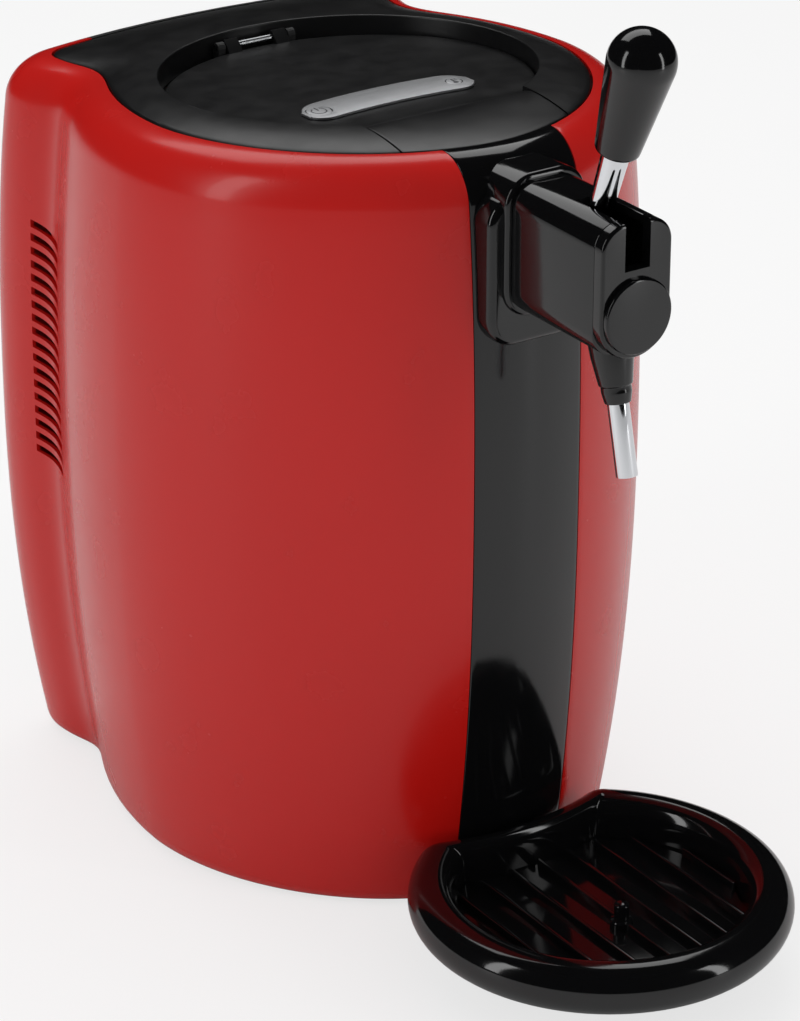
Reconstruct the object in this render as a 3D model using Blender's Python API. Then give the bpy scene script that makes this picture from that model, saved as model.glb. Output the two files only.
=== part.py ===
"""Mini keg beer dispenser: a cooled cabinet for a 5 litre keg, with a lever tap and a drip tray.

Metres, +Z up. The tap faces -Y. Places are given from the upright axis of the barrel shaped
cabinet, and the whole assembly is then shifted so that its footprint is centred on the origin.
"""

import math

import bmesh
import bpy
from mathutils import Matrix, Vector

for item in list(bpy.data.objects):
    bpy.data.objects.remove(item, do_unlink=True)

# Fits

touch_gap = 0.0003
slide_gap = 0.0008
cut_overrun = 0.004

# Cabinet: plan of the housing at its widest level

body_half_width = 0.138
front_reach = 0.148
front_fullness = 1.84
flank_depth = 0.168
flank_turn = math.radians(30)
rear_half_width = 0.1198
rear_reach = 0.177
rear_bulge = 0.010
rear_corner_radius = 0.030
rear_corner_least = 0.010
rear_corner_shrink_share = 0.6
flank_pull = 0.033
rear_pull = 0.024

# Cabinet: heights and upright profile

foot_stand = 0.003
deck_height = 0.3787
deck_slope = 0.055
widest_height = 0.207
top_taper = 0.0085
top_taper_power = 2.5
bottom_taper = 0.0153
bottom_taper_power = 2.3
shoulder_radius = 0.021
shoulder_reach_share = 0.86
bottom_round = 0.007
bottom_round_share = 0.5
housing_wall = 0.0025

# Deck ring and lid

ring_gap = 0.0009
ring_skirt = 0.0036
ring_lip_reach = 0.0028
ring_lip_thickness = 0.0020
ring_thickness = 0.0028
ring_crown = 0.0050
ring_wall = 0.0025
ring_wall_drop = 0.0080
lid_centre = 0.008
lid_opening_radius = 0.0905
lid_gap = 0.0008
lid_groove = 0.0072
lid_recess = 0.0088
lid_dome = 0.0015
lid_thickness = 0.0026
tongue_half_width = 0.0457
tongue_blend_start = 0.052
tongue_blend_end = 0.080

# Keg chamber

keg_radius = 0.08575
keg_clearance = 0.00155
chamber_centre = 0.0035
chamber_floor = 0.0720
liner_wall = 0.0015
liner_top = 0.3600
foam_radius = 0.1130
foam_bottom = 0.0480
foam_top = 0.3520

# Front column and tap

column_half_width = 0.0297
column_wall = 0.0030
column_flange = 0.0060
tap_half_width = 0.019
tap_bottom = 0.3160
tap_top = 0.3787
tap_wall = 0.0035
tap_corner = 0.0120
tap_face = 0.2220
cover_depth = 0.0062
lever_slot_width = 0.0136
lever_slot_drop = 0.0222
lever_axis_y = -0.1850
lever_axis_z = 0.3500
lever_lean = math.radians(19.5)
stem_radius = 0.0054
stem_top_radius = 0.0064
spout_lean = math.radians(13.8)
spout_top_y = -0.2041

# Drip tray

tray_centre = 0.2076
tray_radius = 0.0910
tray_bottom = 0.0210
tray_top = 0.0460

# Footprint and frame

tray_front = tray_centre + tray_radius
frame_shift = (tray_front - rear_reach) / 2


# Finishes

FINISHES = {
    "red_gloss": ((0.42, 0.012, 0.010), 0.22, 0.0),
    "black_gloss": ((0.006, 0.006, 0.006), 0.12, 0.0),
    "black_satin": ((0.012, 0.012, 0.012), 0.38, 0.0),
    "black_matte": ((0.016, 0.016, 0.016), 0.60, 0.0),
    "brushed_silver": ((0.62, 0.62, 0.63), 0.30, 0.9),
    "symbol_grey": ((0.10, 0.10, 0.11), 0.45, 0.0),
    "chrome": ((0.80, 0.80, 0.81), 0.06, 1.0),
    "steel": ((0.52, 0.52, 0.53), 0.35, 1.0),
    "aluminium": ((0.70, 0.70, 0.72), 0.40, 1.0),
    "rubber": ((0.020, 0.020, 0.020), 0.80, 0.0),
    "foam": ((0.86, 0.86, 0.84), 0.90, 0.0),
    "liner_grey": ((0.50, 0.51, 0.52), 0.45, 0.0),
    "ceramic": ((0.85, 0.84, 0.80), 0.55, 0.0),
    "board_green": ((0.03, 0.16, 0.06), 0.50, 0.0),
}
materials = {}


def material(finish):
    """One Principled material for a finish, made once."""
    if finish not in materials:
        colour, roughness, metallic = FINISHES[finish]
        made = bpy.data.materials.new(finish)
        made.use_nodes = True
        shader = made.node_tree.nodes["Principled BSDF"]
        shader.inputs["Base Color"].default_value = (*colour, 1.0)
        shader.inputs["Roughness"].default_value = roughness
        shader.inputs["Metallic"].default_value = metallic
        made.diffuse_color = (*colour, 1.0)
        materials[finish] = made
    return materials[finish]


# Empties: the assembly, and one for each joint

def empty(name, place, parent=None):
    made = bpy.data.objects.new(name, None)
    made.location = place
    made.parent = parent
    bpy.context.scene.collection.objects.link(made)
    return made


assembly = empty("assembly", (0, frame_shift, 0))


# Shapes: each returns a bmesh in assembly coordinates

def loft(rings, wrap=True, caps=True):
    """Skin rings of points that have the same count; the ends get flat caps."""
    bm = bmesh.new()
    rows = [[bm.verts.new(point) for point in ring] for ring in rings]
    for low, high in zip(rows, rows[1:]):
        count = len(low)
        for i in range(count if wrap else count - 1):
            j = (i + 1) % count
            bm.faces.new((low[i], low[j], high[j], high[i]))
    if caps:
        bm.faces.new(rows[0])
        bm.faces.new(rows[-1])
    return bm


def hoop(rings):
    """Skin rings into a closed hoop, the last ring joined to the first."""
    return loft(rings + [rings[0]], caps=False)


def turned(profile, steps, closed=False):
    """Turn (radius, height) points about Z; a radius of zero makes a pole."""
    bm = bmesh.new()
    rows = []
    for radius, height in profile:
        if radius == 0:
            rows.append([bm.verts.new((0, 0, height))])
            continue
        turns = [2 * math.pi * i / steps for i in range(steps)]
        rows.append([bm.verts.new((radius * math.cos(a), radius * math.sin(a), height)) for a in turns])
    pairs = list(zip(rows, rows[1:]))
    if closed:
        pairs.append((rows[-1], rows[0]))
    for low, high in pairs:
        for i in range(steps):
            j = (i + 1) % steps
            if len(low) == 1:
                bm.faces.new((low[0], high[j], high[i]))
            elif len(high) == 1:
                bm.faces.new((low[i], low[j], high[0]))
            else:
                bm.faces.new((low[i], low[j], high[j], high[i]))
    if not closed:
        for row in (rows[0], rows[-1]):
            if len(row) > 1:
                bm.faces.new(row)
    return bm


def slab(outline, start, end, axis="Z"):
    """Push a flat outline from start to end along an axis.

    The outline is (x, y) for Z, (x, z) for Y and (y, z) for X.
    """
    def lifted(u, v, w):
        return {"Z": (u, v, w), "Y": (u, w, v), "X": (w, u, v)}[axis]

    return loft([[lifted(u, v, w) for u, v in outline] for w in (start, end)])


def block(x0, x1, y0, y1, z0, z1):
    return slab([(x0, y0), (x1, y0), (x1, y1), (x0, y1)], z0, z1)


def rounded_box_outline(u0, u1, v0, v1, radius, steps=5, lower_radius=None):
    """Corners run from the lower right round to the lower left."""
    lower = radius if lower_radius is None else lower_radius
    corners = [
        (u1 - lower, v0 + lower, lower, -0.5),
        (u1 - radius, v1 - radius, radius, 0.0),
        (u0 + radius, v1 - radius, radius, 0.5),
        (u0 + lower, v0 + lower, lower, 1.0),
    ]
    points = []
    for cu, cv, size, start in corners:
        for i in range(steps + 1):
            turn = math.pi * (start + 0.5 * i / steps)
            points.append((cu + size * math.cos(turn), cv + size * math.sin(turn)))
    return points


def circle(radius, centre=(0, 0), steps=18):
    turns = [2 * math.pi * i / steps for i in range(steps)]
    return [(centre[0] + radius * math.cos(a), centre[1] + radius * math.sin(a)) for a in turns]


def moved(bm, matrix):
    bmesh.ops.transform(bm, matrix=matrix, verts=bm.verts)
    return bm


def rod(radius, start, end, steps=12):
    """A plain round bar between two points."""
    start, end = Vector(start), Vector(end)
    along = end - start
    bm = turned([(radius, 0), (radius, along.length)], steps)
    turn = Vector((0, 0, 1)).rotation_difference(along).to_matrix().to_4x4()
    return moved(bm, Matrix.Translation(start) @ turn)


def round_rim(bm, axis, value, width, segments):
    """Round the edges that lie at one level of an axis."""
    level = "xyz".index(axis)
    close = touch_gap / 10
    rim = [e for e in bm.edges if all(abs(v.co[level] - value) < close for v in e.verts)]
    bmesh.ops.bevel(bm, geom=rim, offset=width, segments=segments, profile=0.5,
                    affect="EDGES", material=-1)
    return bm


# Objects

def solid(name, bm, finish, carrier=None):
    """Make an object of a bmesh; a carrier is the empty of the joint that moves it."""
    bmesh.ops.remove_doubles(bm, verts=bm.verts, dist=touch_gap / 100)
    bmesh.ops.recalc_face_normals(bm, faces=bm.faces)
    mesh = bpy.data.meshes.new(name)
    bm.to_mesh(mesh)
    bm.free()
    mesh.shade_smooth()
    mesh.set_sharp_from_angle(angle=math.radians(32))
    mesh.materials.append(material(finish))
    made = bpy.data.objects.new(name, mesh)
    bpy.context.scene.collection.objects.link(made)
    if carrier is None:
        made.parent = assembly
    else:
        made.parent = carrier
        place = Vector((0, 0, 0))
        step = carrier
        while step is not assembly:
            place -= step.location
            step = step.parent
        made.location = place
    return made


tool_count = 0


def combine(target, bm, operation="DIFFERENCE"):
    """Cut or join a hidden tool shape with a Boolean."""
    global tool_count
    tool_count += 1
    tool = solid(f"tool_{tool_count}", bm, "black_matte")
    tool.hide_render = True
    tool.display_type = "WIRE"
    tool.hide_set(True)
    step = target.modifiers.new(f"{operation.lower()}_{tool_count}", "BOOLEAN")
    step.operation = operation
    step.solver = "EXACT"
    step.object = tool
    return target


# Plan sections of the cabinet

def front_edge(x, inset):
    """How far forward the front runs at a distance x from the middle."""
    wide = (body_half_width - inset)
    return -(front_reach - inset) * (1 - (abs(x) / wide) ** front_fullness) ** (1 / front_fullness)


def rear_shape(inset):
    """Where the rear corner meets the bulged rear smoothly: x, fall and turn."""
    corner = rear_corner(inset)
    turn = 0.0
    for _ in range(12):
        meet = rear_half_width - inset - corner + corner * math.sin(turn)
        fall = rear_bulge + corner * (1 - math.cos(turn))
        turn = math.atan(2 * fall / meet)
    return meet, fall, turn


def rear_edge(x, inset):
    """How far back the rear runs at a distance x from the middle."""
    meet, fall, _ = rear_shape(inset)
    return rear_reach - inset - fall * (x / meet) ** 2


def rear_corner(inset):
    return max(rear_corner_radius - rear_corner_shrink_share * max(inset, 0), rear_corner_least)


def curve_between(p0, t0, p1, t1, steps):
    """Points of a cubic curve after its start, with its end."""
    points = []
    for i in range(1, steps + 1):
        t = i / steps
        a, b, c, d = (1 - t) ** 3, 3 * (1 - t) ** 2 * t, 3 * (1 - t) * t * t, t ** 3
        points.append(tuple(a * p + b * (p + q) + c * (r - s) + d * r
                            for p, q, r, s in zip(p0, t0, p1, t1)))
    return points


def side_section(inset, x_front=0.0, x_rear=0.0, front_steps=12, flank_steps=2, valley_steps=5,
                 corner_steps=4, rear_steps=2):
    """The right side of the plan, from the front at x_front to the rear at x_rear."""
    wide = body_half_width - inset
    deep = front_reach - inset
    start = math.asin((x_front / wide) ** (front_fullness / 2))
    points = []
    for i in range(front_steps):
        turn = start + (math.pi / 2 - start) * i / front_steps
        points.append((wide * math.sin(turn) ** (2 / front_fullness),
                       -deep * math.cos(turn) ** (2 / front_fullness)))
    points[0] = (x_front, front_edge(x_front, inset))
    for i in range(flank_steps + 1):
        turn = flank_turn * i / flank_steps
        points.append((wide * math.cos(turn), (flank_depth - inset) * math.sin(turn)))
    corner = rear_corner(inset)
    side = rear_half_width - inset
    level = rear_reach - inset - rear_bulge
    tangent = Vector((-wide * math.sin(flank_turn), (flank_depth - inset) * math.cos(flank_turn)))
    tangent = tangent.normalized() * flank_pull
    points += curve_between(points[-1], tangent, (side, level - corner), (0, rear_pull), valley_steps)
    meet, _, last = rear_shape(inset)
    for i in range(1, corner_steps + 1):
        turn = (math.pi / 2 - last) * i / corner_steps
        points.append((side - corner + corner * math.cos(turn), level - corner + corner * math.sin(turn)))
    for i in range(1, rear_steps + 1):
        x = meet + (x_rear - meet) * i / rear_steps
        points.append((x, rear_edge(x, inset)))
    return points


def full_section(inset, **steps):
    """The whole plan outline, round from the front middle, by the right, to the front again."""
    right = side_section(inset, **steps)
    left = [(-x, y) for x, y in reversed(right[1:-1])]
    return right + left


def deck(y):
    """Level of the sloping top plane."""
    return deck_height - deck_slope * y


def sloped(level, y):
    """A nominal level of the middle, stretched so that the top follows the sloping deck."""
    return foot_stand + (level - foot_stand) * (deck(y) - foot_stand) / (deck_height - foot_stand)


def taper(level):
    if level > widest_height:
        return top_taper * ((level - widest_height) / (deck_height - widest_height)) ** top_taper_power
    share = (widest_height - level) / (widest_height - foot_stand)
    return bottom_taper * share ** bottom_taper_power


shoulder_start = deck_height - shoulder_radius
lower_shares = (0.34, 0.68, 1.0)
upper_shares = (0.42, 0.76)


def profile(wall=0.0, shoulder_steps=4):
    """(inset, level) pairs up the side, for a surface that lies a wall inside the outer one."""
    pairs = []
    low = foot_stand + bottom_round
    for level in (foot_stand, foot_stand + bottom_round * 0.3, low):
        share = (low - level) / bottom_round
        curl = bottom_round * bottom_round_share * (1 - math.sqrt(1 - share ** 2))
        pairs.append((taper(level) + curl + wall, level))
    for start, end, shares in ((low, widest_height, lower_shares),
                               (widest_height, shoulder_start, upper_shares)):
        for share in shares:
            level = start + (end - start) * share
            pairs.append((taper(level) + wall, level))
    radius = shoulder_radius - wall
    for i in range(shoulder_steps + 1):
        turn = math.pi / 2 * i / shoulder_steps
        level = shoulder_start + radius * math.sin(turn)
        reach = radius * shoulder_reach_share * (1 - math.cos(turn))
        pairs.append((taper(level) + reach + wall, level))
    return pairs


deck_inset = profile()[-1][0]


def lifted_section(points, level):
    return [(x, y, sloped(level, y)) for x, y in points]


def cabinet_core(clearance):
    """The cabinet's outer form, larger by a clearance, as a plain cutter."""
    return loft([lifted_section(full_section(inset - clearance, front_steps=44), level)
                 for inset, level in profile()])


# Housing shells

vent_count = 18
vent_pitch = 0.0071
vent_height = 0.0040
vent_top = 0.2947
vent_rear = 0.1182
vent_front = 0.0915
vent_slant = 0.0052
rear_cover_half_width = 0.062


def sheet(outer_rows, inner_rows):
    """A closed body between two grids of points, with a wall along all four edges."""
    bm = bmesh.new()
    outer, inner = [[[bm.verts.new(point) for point in row] for row in rows]
                    for rows in (outer_rows, inner_rows)]
    for rows in (outer, inner):
        for low, high in zip(rows, rows[1:]):
            for i in range(len(low) - 1):
                bm.faces.new((low[i], low[i + 1], high[i + 1], high[i]))
    for k in (0, -1):
        for i in range(len(outer[k]) - 1):
            bm.faces.new((outer[k][i], outer[k][i + 1], inner[k][i + 1], inner[k][i]))
    for k in (0, -1):
        for low_out, high_out, low_in, high_in in zip(outer, outer[1:], inner, inner[1:]):
            bm.faces.new((low_out[k], high_out[k], high_in[k], low_in[k]))
    return bm


def shell(side):
    """One side of the red housing, open at the front, the rear, the top and the bottom."""
    edges = {"x_front": column_half_width + touch_gap, "x_rear": rear_cover_half_width + touch_gap}
    grids = []
    for wall in (0.0, housing_wall):
        grids.append([[(side * x, y, z) for x, y, z in lifted_section(side_section(inset, **edges), level)]
                      for inset, level in profile(wall)])
    return sheet(*grids)


def vent_cutter(side, index):
    """One slanted slot through the side of the rear block."""
    top = vent_top - vent_pitch * index
    x0 = side * (rear_half_width - housing_wall * 4)
    x1 = side * (rear_half_width + cut_overrun)
    outline = [(vent_rear, top), (vent_front, top - vent_slant),
               (vent_front, top - vent_slant - vent_height), (vent_rear, top - vent_height)]
    return slab(outline, min(x0, x1), max(x0, x1), axis="X")


for side, name in ((1, "housing_right"), (-1, "housing_left")):
    housing = solid(name, shell(side), "red_gloss")
    for index in range(vent_count):
        combine(housing, vent_cutter(side, index))


# Base plate, feet and screws

base_thickness = 0.0030
base_rise = 0.0030
base_gap = 0.0008
foot_radius = 0.0110
foot_boss = 0.0080
foot_height = foot_stand + 0.0030
foot_places = {
    "foot_front_left": (-0.066, -0.076),
    "foot_front_right": (0.066, -0.076),
    "foot_rear_left": (-0.080, 0.128),
    "foot_rear_right": (0.080, 0.128),
}
base_screw_radius = 0.0030
base_screw_length = 0.0120
base_post_radius = 0.0060
cradle_radius = 0.0980
cradle_wall = 0.0040
base_bottom = foot_stand
base_top = base_bottom + base_thickness


def base_plate():
    """A dished plate that fits inside the foot of the housing."""
    low_inset = profile(housing_wall)[0][0] + base_gap
    high_inset = profile(housing_wall)[2][0] + base_gap
    low = [(x, y, base_bottom) for x, y in full_section(low_inset)]
    high = [(x, y, base_bottom + base_thickness + base_rise) for x, y in full_section(high_inset)]
    inner_high = [(x, y, high[0][2]) for x, y in full_section(high_inset + base_thickness)]
    inner_low = [(x, y, base_top) for x, y in full_section(low_inset + base_thickness)]
    return loft([low, high, inner_high, inner_low])


base = solid("base_plate", base_plate(), "black_matte")
cradle_top = foam_bottom - touch_gap
cradle_low = base_top - base_thickness / 2
combine(base, moved(turned([
    (cradle_radius, cradle_low), (cradle_radius, cradle_top),
    (cradle_radius - cradle_wall, cradle_top), (cradle_radius - cradle_wall, cradle_low),
], 36, closed=True), Matrix.Translation((0, chamber_centre, 0))), "UNION")

for name, (x, y) in foot_places.items():
    recess = slab(circle(foot_radius + touch_gap, (x, y)), base_bottom - cut_overrun,
                  base_bottom + base_thickness * 0.4)
    combine(base, recess)
    foot_top = base_bottom + base_thickness * 0.4 - touch_gap
    foot = turned([(0, 0), (foot_radius * 0.86, 0), (foot_radius, foot_stand * 0.5),
                   (foot_radius, foot_top), (0, foot_top)], 18)
    solid(name, moved(foot, Matrix.Translation((x, y, 0))), "rubber")


# Keg chamber

liner_inner = keg_radius + keg_clearance
liner_outer = liner_inner + liner_wall
liner_floor_bottom = chamber_floor - liner_wall * 2
chamber_place = Matrix.Translation((0, chamber_centre, 0))

liner = solid("keg_chamber_liner", moved(turned([
    (0, liner_floor_bottom), (liner_outer, liner_floor_bottom), (liner_outer, liner_top),
    (liner_inner, liner_top), (liner_inner, chamber_floor), (0, chamber_floor),
], 36), chamber_place), "liner_grey")

foam_inner = liner_outer + touch_gap
foam_floor = liner_floor_bottom - touch_gap
insulation = solid("chamber_insulation", moved(turned([
    (0, foam_bottom), (foam_radius, foam_bottom), (foam_radius, foam_top),
    (foam_inner, foam_top), (foam_inner, foam_floor), (0, foam_floor),
], 36), chamber_place), "foam")


line_notch_half_width = 0.0090
line_notch_bottom = 0.3440
for part in (liner, insulation):
    combine(part, block(-line_notch_half_width, line_notch_half_width, -front_reach,
                        chamber_centre - liner_inner * 0.8, line_notch_bottom, liner_top + cut_overrun))


# Cooling unit behind the chamber

cold_half_width = 0.030
cold_bottom = 0.160
cold_top = 0.250
cold_back = chamber_centre + foam_radius + 0.0008
module_half = 0.020
module_thickness = 0.0038
sink_half_width = 0.040
sink_base = 0.0050
fin_count = 11
fin_thickness = 0.0014
fin_depth = 0.0160
sink_margin = 0.005
fan_half = 0.040
fan_depth = 0.0120
fan_bore = 0.0370
fan_hub_radius = 0.0150
fan_blade_count = 7
fan_blade_radius = 0.0355
fan_blade_pitch = math.radians(34)
fan_blade_thickness = 0.0016
fan_running_gap = 0.0010
cool_middle = (cold_bottom + cold_top) / 2

combine(insulation, block(-cold_half_width - touch_gap, cold_half_width + touch_gap,
                          chamber_centre + liner_outer * 0.9, chamber_centre + foam_radius + cut_overrun,
                          cold_bottom - touch_gap, cold_top + touch_gap))
cold_plate = solid("cold_plate", block(-cold_half_width, cold_half_width, chamber_centre + liner_outer * 0.92,
                                       cold_back, cold_bottom, cold_top), "aluminium")
combine(cold_plate, moved(turned([(foam_inner, cold_bottom - cut_overrun),
                                  (foam_inner, cold_top + cut_overrun)], 36), chamber_place))

module_front = cold_back + touch_gap
module_back = module_front + module_thickness
solid("thermoelectric_module", block(-module_half, module_half, module_front, module_back,
                                     cool_middle - module_half, cool_middle + module_half), "ceramic")

sink_front = module_back + touch_gap
fin_root = sink_front + sink_base
fin_tip = fin_root + fin_depth


def heat_sink():
    """A flat base with upright fins towards the fan."""
    pitch = (2 * sink_half_width - fin_thickness) / (fin_count - 1)
    outline = [(-sink_half_width, sink_front), (sink_half_width, sink_front)]
    for i in reversed(range(fin_count)):
        x0 = -sink_half_width + pitch * i
        x1 = x0 + fin_thickness
        if i < fin_count - 1:
            outline.append((x1, fin_root))
        outline += [(x1, fin_tip), (x0, fin_tip)]
        if i > 0:
            outline.append((x0, fin_root))
    return slab(outline, cool_middle - module_half * 2 - sink_margin, cool_middle + module_half * 2 + sink_margin)


solid("heat_sink", heat_sink(), "aluminium")

fan_front = fin_tip + touch_gap
fan_back = fan_front + fan_depth
fan_middle = (fan_front + fan_back) / 2
fan_motor_depth = 0.0030
fan_strut = 0.0030


def fan_frame():
    """A square frame with a round bore and a motor seat on four struts."""
    return block(-fan_half, fan_half, fan_front, fan_back, cool_middle - fan_half, cool_middle + fan_half)


frame_part = solid("fan_frame", fan_frame(), "black_matte")
combine(frame_part, slab(circle(fan_bore, (0, cool_middle), 40), fan_front - cut_overrun,
                         fan_back + cut_overrun, axis="Y"))
combine(frame_part, slab(circle(fan_hub_radius * 0.8, (0, cool_middle), 20), fan_front,
                         fan_front + fan_motor_depth, axis="Y"), "UNION")
for turn in (0, 1):
    across = fan_bore + fan_strut
    thin = fan_strut / 2
    u, v = (across, thin) if turn == 0 else (thin, across)
    combine(frame_part, block(-u, u, fan_front, fan_front + fan_motor_depth * 0.8,
                              cool_middle - v, cool_middle + v), "UNION")

fan_axis = empty("fan_axis", (0, fan_middle, cool_middle), assembly)


def impeller():
    """Hub cup and pitched blades, joined into one body by overlapping roots."""
    hub_front = fan_front + fan_motor_depth + fan_running_gap
    hub_back = fan_back - fan_running_gap
    return slab(circle(fan_hub_radius, (0, cool_middle), 28), hub_front, hub_back, axis="Y")


fan = solid("fan_impeller", impeller(), "black_matte", fan_axis)
for index in range(fan_blade_count):
    root = fan_hub_radius * 0.7
    reach = fan_blade_radius
    chord = 0.0085
    blade = slab([(root, -chord / 2), (reach, -chord / 2), (reach, chord / 2), (root, chord / 2)],
                 -fan_blade_thickness / 2, fan_blade_thickness / 2)
    spin = Matrix.Rotation(2 * math.pi * index / fan_blade_count, 4, "Y")
    tilt = Matrix.Rotation(fan_blade_pitch, 4, "X")
    middle = (fan_front + fan_motor_depth + fan_back) / 2
    place = Matrix.Translation((0, middle, cool_middle)) @ spin @ tilt
    combine(fan, moved(blade, place), "UNION")


# Rear cover with outlet grille, and power inlet

cover_wall = housing_wall
rear_cover_bottom = foot_stand
grille_count = 9
grille_pitch = 0.0080
grille_height = 0.0042
grille_half_width = 0.032
inlet_x = 0.030
inlet_z = 0.044
inlet_half_width = 0.0120
inlet_half_height = 0.0070
inlet_depth = 0.0170
inlet_flange = 0.0015
inlet_pin_radius = 0.0012
inlet_pin_half_pitch = 0.0043


def rear_cover():
    """The rear strip of the cabinet, between the two red shells."""
    count = 6
    xs = [rear_cover_half_width * (2 * i / count - 1) for i in range(count + 1)]
    grids = []
    for wall in (0.0, cover_wall):
        grids.append([[(x, rear_edge(x, inset), sloped(level, rear_edge(x, inset))) for x in xs]
                      for inset, level in profile(wall)])
    return sheet(*grids)


cover = solid("rear_cover", rear_cover(), "black_matte")
for index in range(grille_count):
    z = cool_middle + grille_pitch * (index - (grille_count - 1) / 2)
    combine(cover, block(-grille_half_width, grille_half_width, rear_reach - cover_wall * 8,
                         rear_reach + cut_overrun, z - grille_height / 2, z + grille_height / 2))
combine(cover, slab(rounded_box_outline(
    inlet_x - inlet_half_width - touch_gap, inlet_x + inlet_half_width + touch_gap,
    inlet_z - inlet_half_height - touch_gap, inlet_z + inlet_half_height + touch_gap,
    inlet_half_height * 0.8), rear_reach - inlet_depth * 2, rear_reach + cut_overrun, axis="Y"))

inlet_inset = taper(inlet_z)
inlet_face = rear_edge(inlet_x, inlet_inset) - inlet_flange
power_inlet = solid("power_inlet", slab(rounded_box_outline(
    inlet_x - inlet_half_width, inlet_x + inlet_half_width,
    inlet_z - inlet_half_height, inlet_z + inlet_half_height, inlet_half_height * 0.8),
    inlet_face - inlet_depth, inlet_face, axis="Y"), "black_matte")
combine(power_inlet, slab(rounded_box_outline(
    inlet_x - inlet_half_width * 0.72, inlet_x + inlet_half_width * 0.72,
    inlet_z - inlet_half_height * 0.62, inlet_z + inlet_half_height * 0.62, inlet_half_height * 0.6),
    inlet_face - inlet_depth * 0.7, inlet_face + cut_overrun, axis="Y"))
for side in (-1, 1):
    x = inlet_x + side * inlet_pin_half_pitch
    combine(power_inlet, rod(inlet_pin_radius, (x, inlet_face - inlet_depth * 0.8, inlet_z),
                             (x, inlet_face - inlet_depth * 0.15, inlet_z), 10), "UNION")


# Power supply board on the base, behind the chamber

supply_half_width = 0.042
supply_front = 0.112
supply_back = 0.148
supply_level = base_top + 0.0060
supply_thickness = 0.0016
transformer_size = (0.026, 0.022, 0.020)
board_post_radius = 0.0035

supply = solid("power_supply_board", block(-supply_half_width, supply_half_width, supply_front, supply_back,
                                           supply_level, supply_level + supply_thickness), "board_green")
supply_top = supply_level + supply_thickness
middle_y = (supply_front + supply_back) / 2
combine(supply, block(-transformer_size[0], 0, middle_y - transformer_size[1] / 2,
                      middle_y + transformer_size[1] / 2, supply_top - supply_thickness / 2,
                      supply_top + transformer_size[2]), "UNION")
combine(supply, rod(transformer_size[1] / 4, (supply_half_width * 0.4, middle_y, supply_top - supply_thickness / 2),
                    (supply_half_width * 0.4, middle_y, supply_top + transformer_size[2] * 0.8)), "UNION")
for sx in (-1, 1):
    x = sx * supply_half_width * 0.85
    combine(base, rod(board_post_radius, (x, middle_y, cradle_low),
                      (x, middle_y, supply_level - touch_gap)), "UNION")


# Front column

def column():
    """The gloss strip that covers the front joint of the shells."""
    count = 8
    half = column_half_width
    wide = half + column_flange
    step_in = column_wall / 6
    xs = [half * (2 * i / count - 1) for i in range(count + 1)]
    flange_front = housing_wall + slide_gap
    flange_back = flange_front + column_wall / 2
    outer, inner = [], []
    for k in range(2, len(profile())):
        def placed(x, wall):
            inset, level = profile(wall)[k]
            y = front_edge(x, inset)
            return (x, y, sloped(level, y))

        outer.append([placed(-wide, flange_front), placed(-half, flange_front)]
                     + [placed(x, 0.0) for x in xs]
                     + [placed(half, flange_front), placed(wide, flange_front)])
        inner.append([placed(-wide, flange_back), placed(-half, flange_back), placed(step_in - half, flange_back)]
                     + [placed(x, flange_back) for x in xs[1:-1]]
                     + [placed(half - step_in, flange_back), placed(half, flange_back),
                        placed(wide, flange_back)])
    return sheet(outer, inner)


hook_half_width = 0.0180
hook_bottom = 0.0250
hook_top = 0.0310
hook_reach = 0.0200
tap_hole_half_width = 0.0130
tap_hole_bottom = 0.3450
tap_hole_top = 0.3610

column_part = solid("front_column", column(), "black_gloss")
combine(column_part, block(-hook_half_width - slide_gap, hook_half_width + slide_gap,
                           -front_reach - cut_overrun, -front_reach + column_wall * 8,
                           hook_bottom - slide_gap, hook_top + slide_gap))
combine(column_part, slab(rounded_box_outline(-tap_hole_half_width, tap_hole_half_width, tap_hole_bottom,
                                              tap_hole_top, tap_corner * 0.5),
                          -front_reach - cut_overrun, -front_reach + column_wall * 8, axis="Y"))


# Tap surround, arm and cover

surround_half_width = 0.0285
surround_bottom = 0.2985
surround_top = 0.3720
surround_corner = 0.0150
surround_face = 0.1520
surround_round = 0.0040
collar_margin = 0.0030
collar_face = 0.1545
collar_round = 0.0022

arm_rear = collar_face + touch_gap
arm_front = tap_face - cover_depth
cover_rear = arm_front + touch_gap

surround = solid("tap_surround", round_rim(slab(rounded_box_outline(
    -surround_half_width, surround_half_width, surround_bottom, surround_top, surround_corner, 6),
    -surround_face, -front_reach + column_wall * 6, axis="Y"), "y", -surround_face, surround_round, 3),
    "black_gloss")
collar_outline = rounded_box_outline(-tap_half_width - collar_margin, tap_half_width + collar_margin,
                                     tap_bottom - collar_margin, tap_top + collar_margin,
                                     tap_corner + collar_margin, 6)
combine(surround, round_rim(slab(collar_outline, -collar_face, -front_reach + column_wall * 6, axis="Y"),
                            "y", -collar_face, collar_round, 2), "UNION")
combine(surround, cabinet_core(touch_gap))
combine(surround, slab(rounded_box_outline(-tap_hole_half_width, tap_hole_half_width, tap_hole_bottom,
                                           tap_hole_top, tap_corner * 0.5),
                       -collar_face - cut_overrun, -front_reach + column_wall * 8, axis="Y"))

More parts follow.
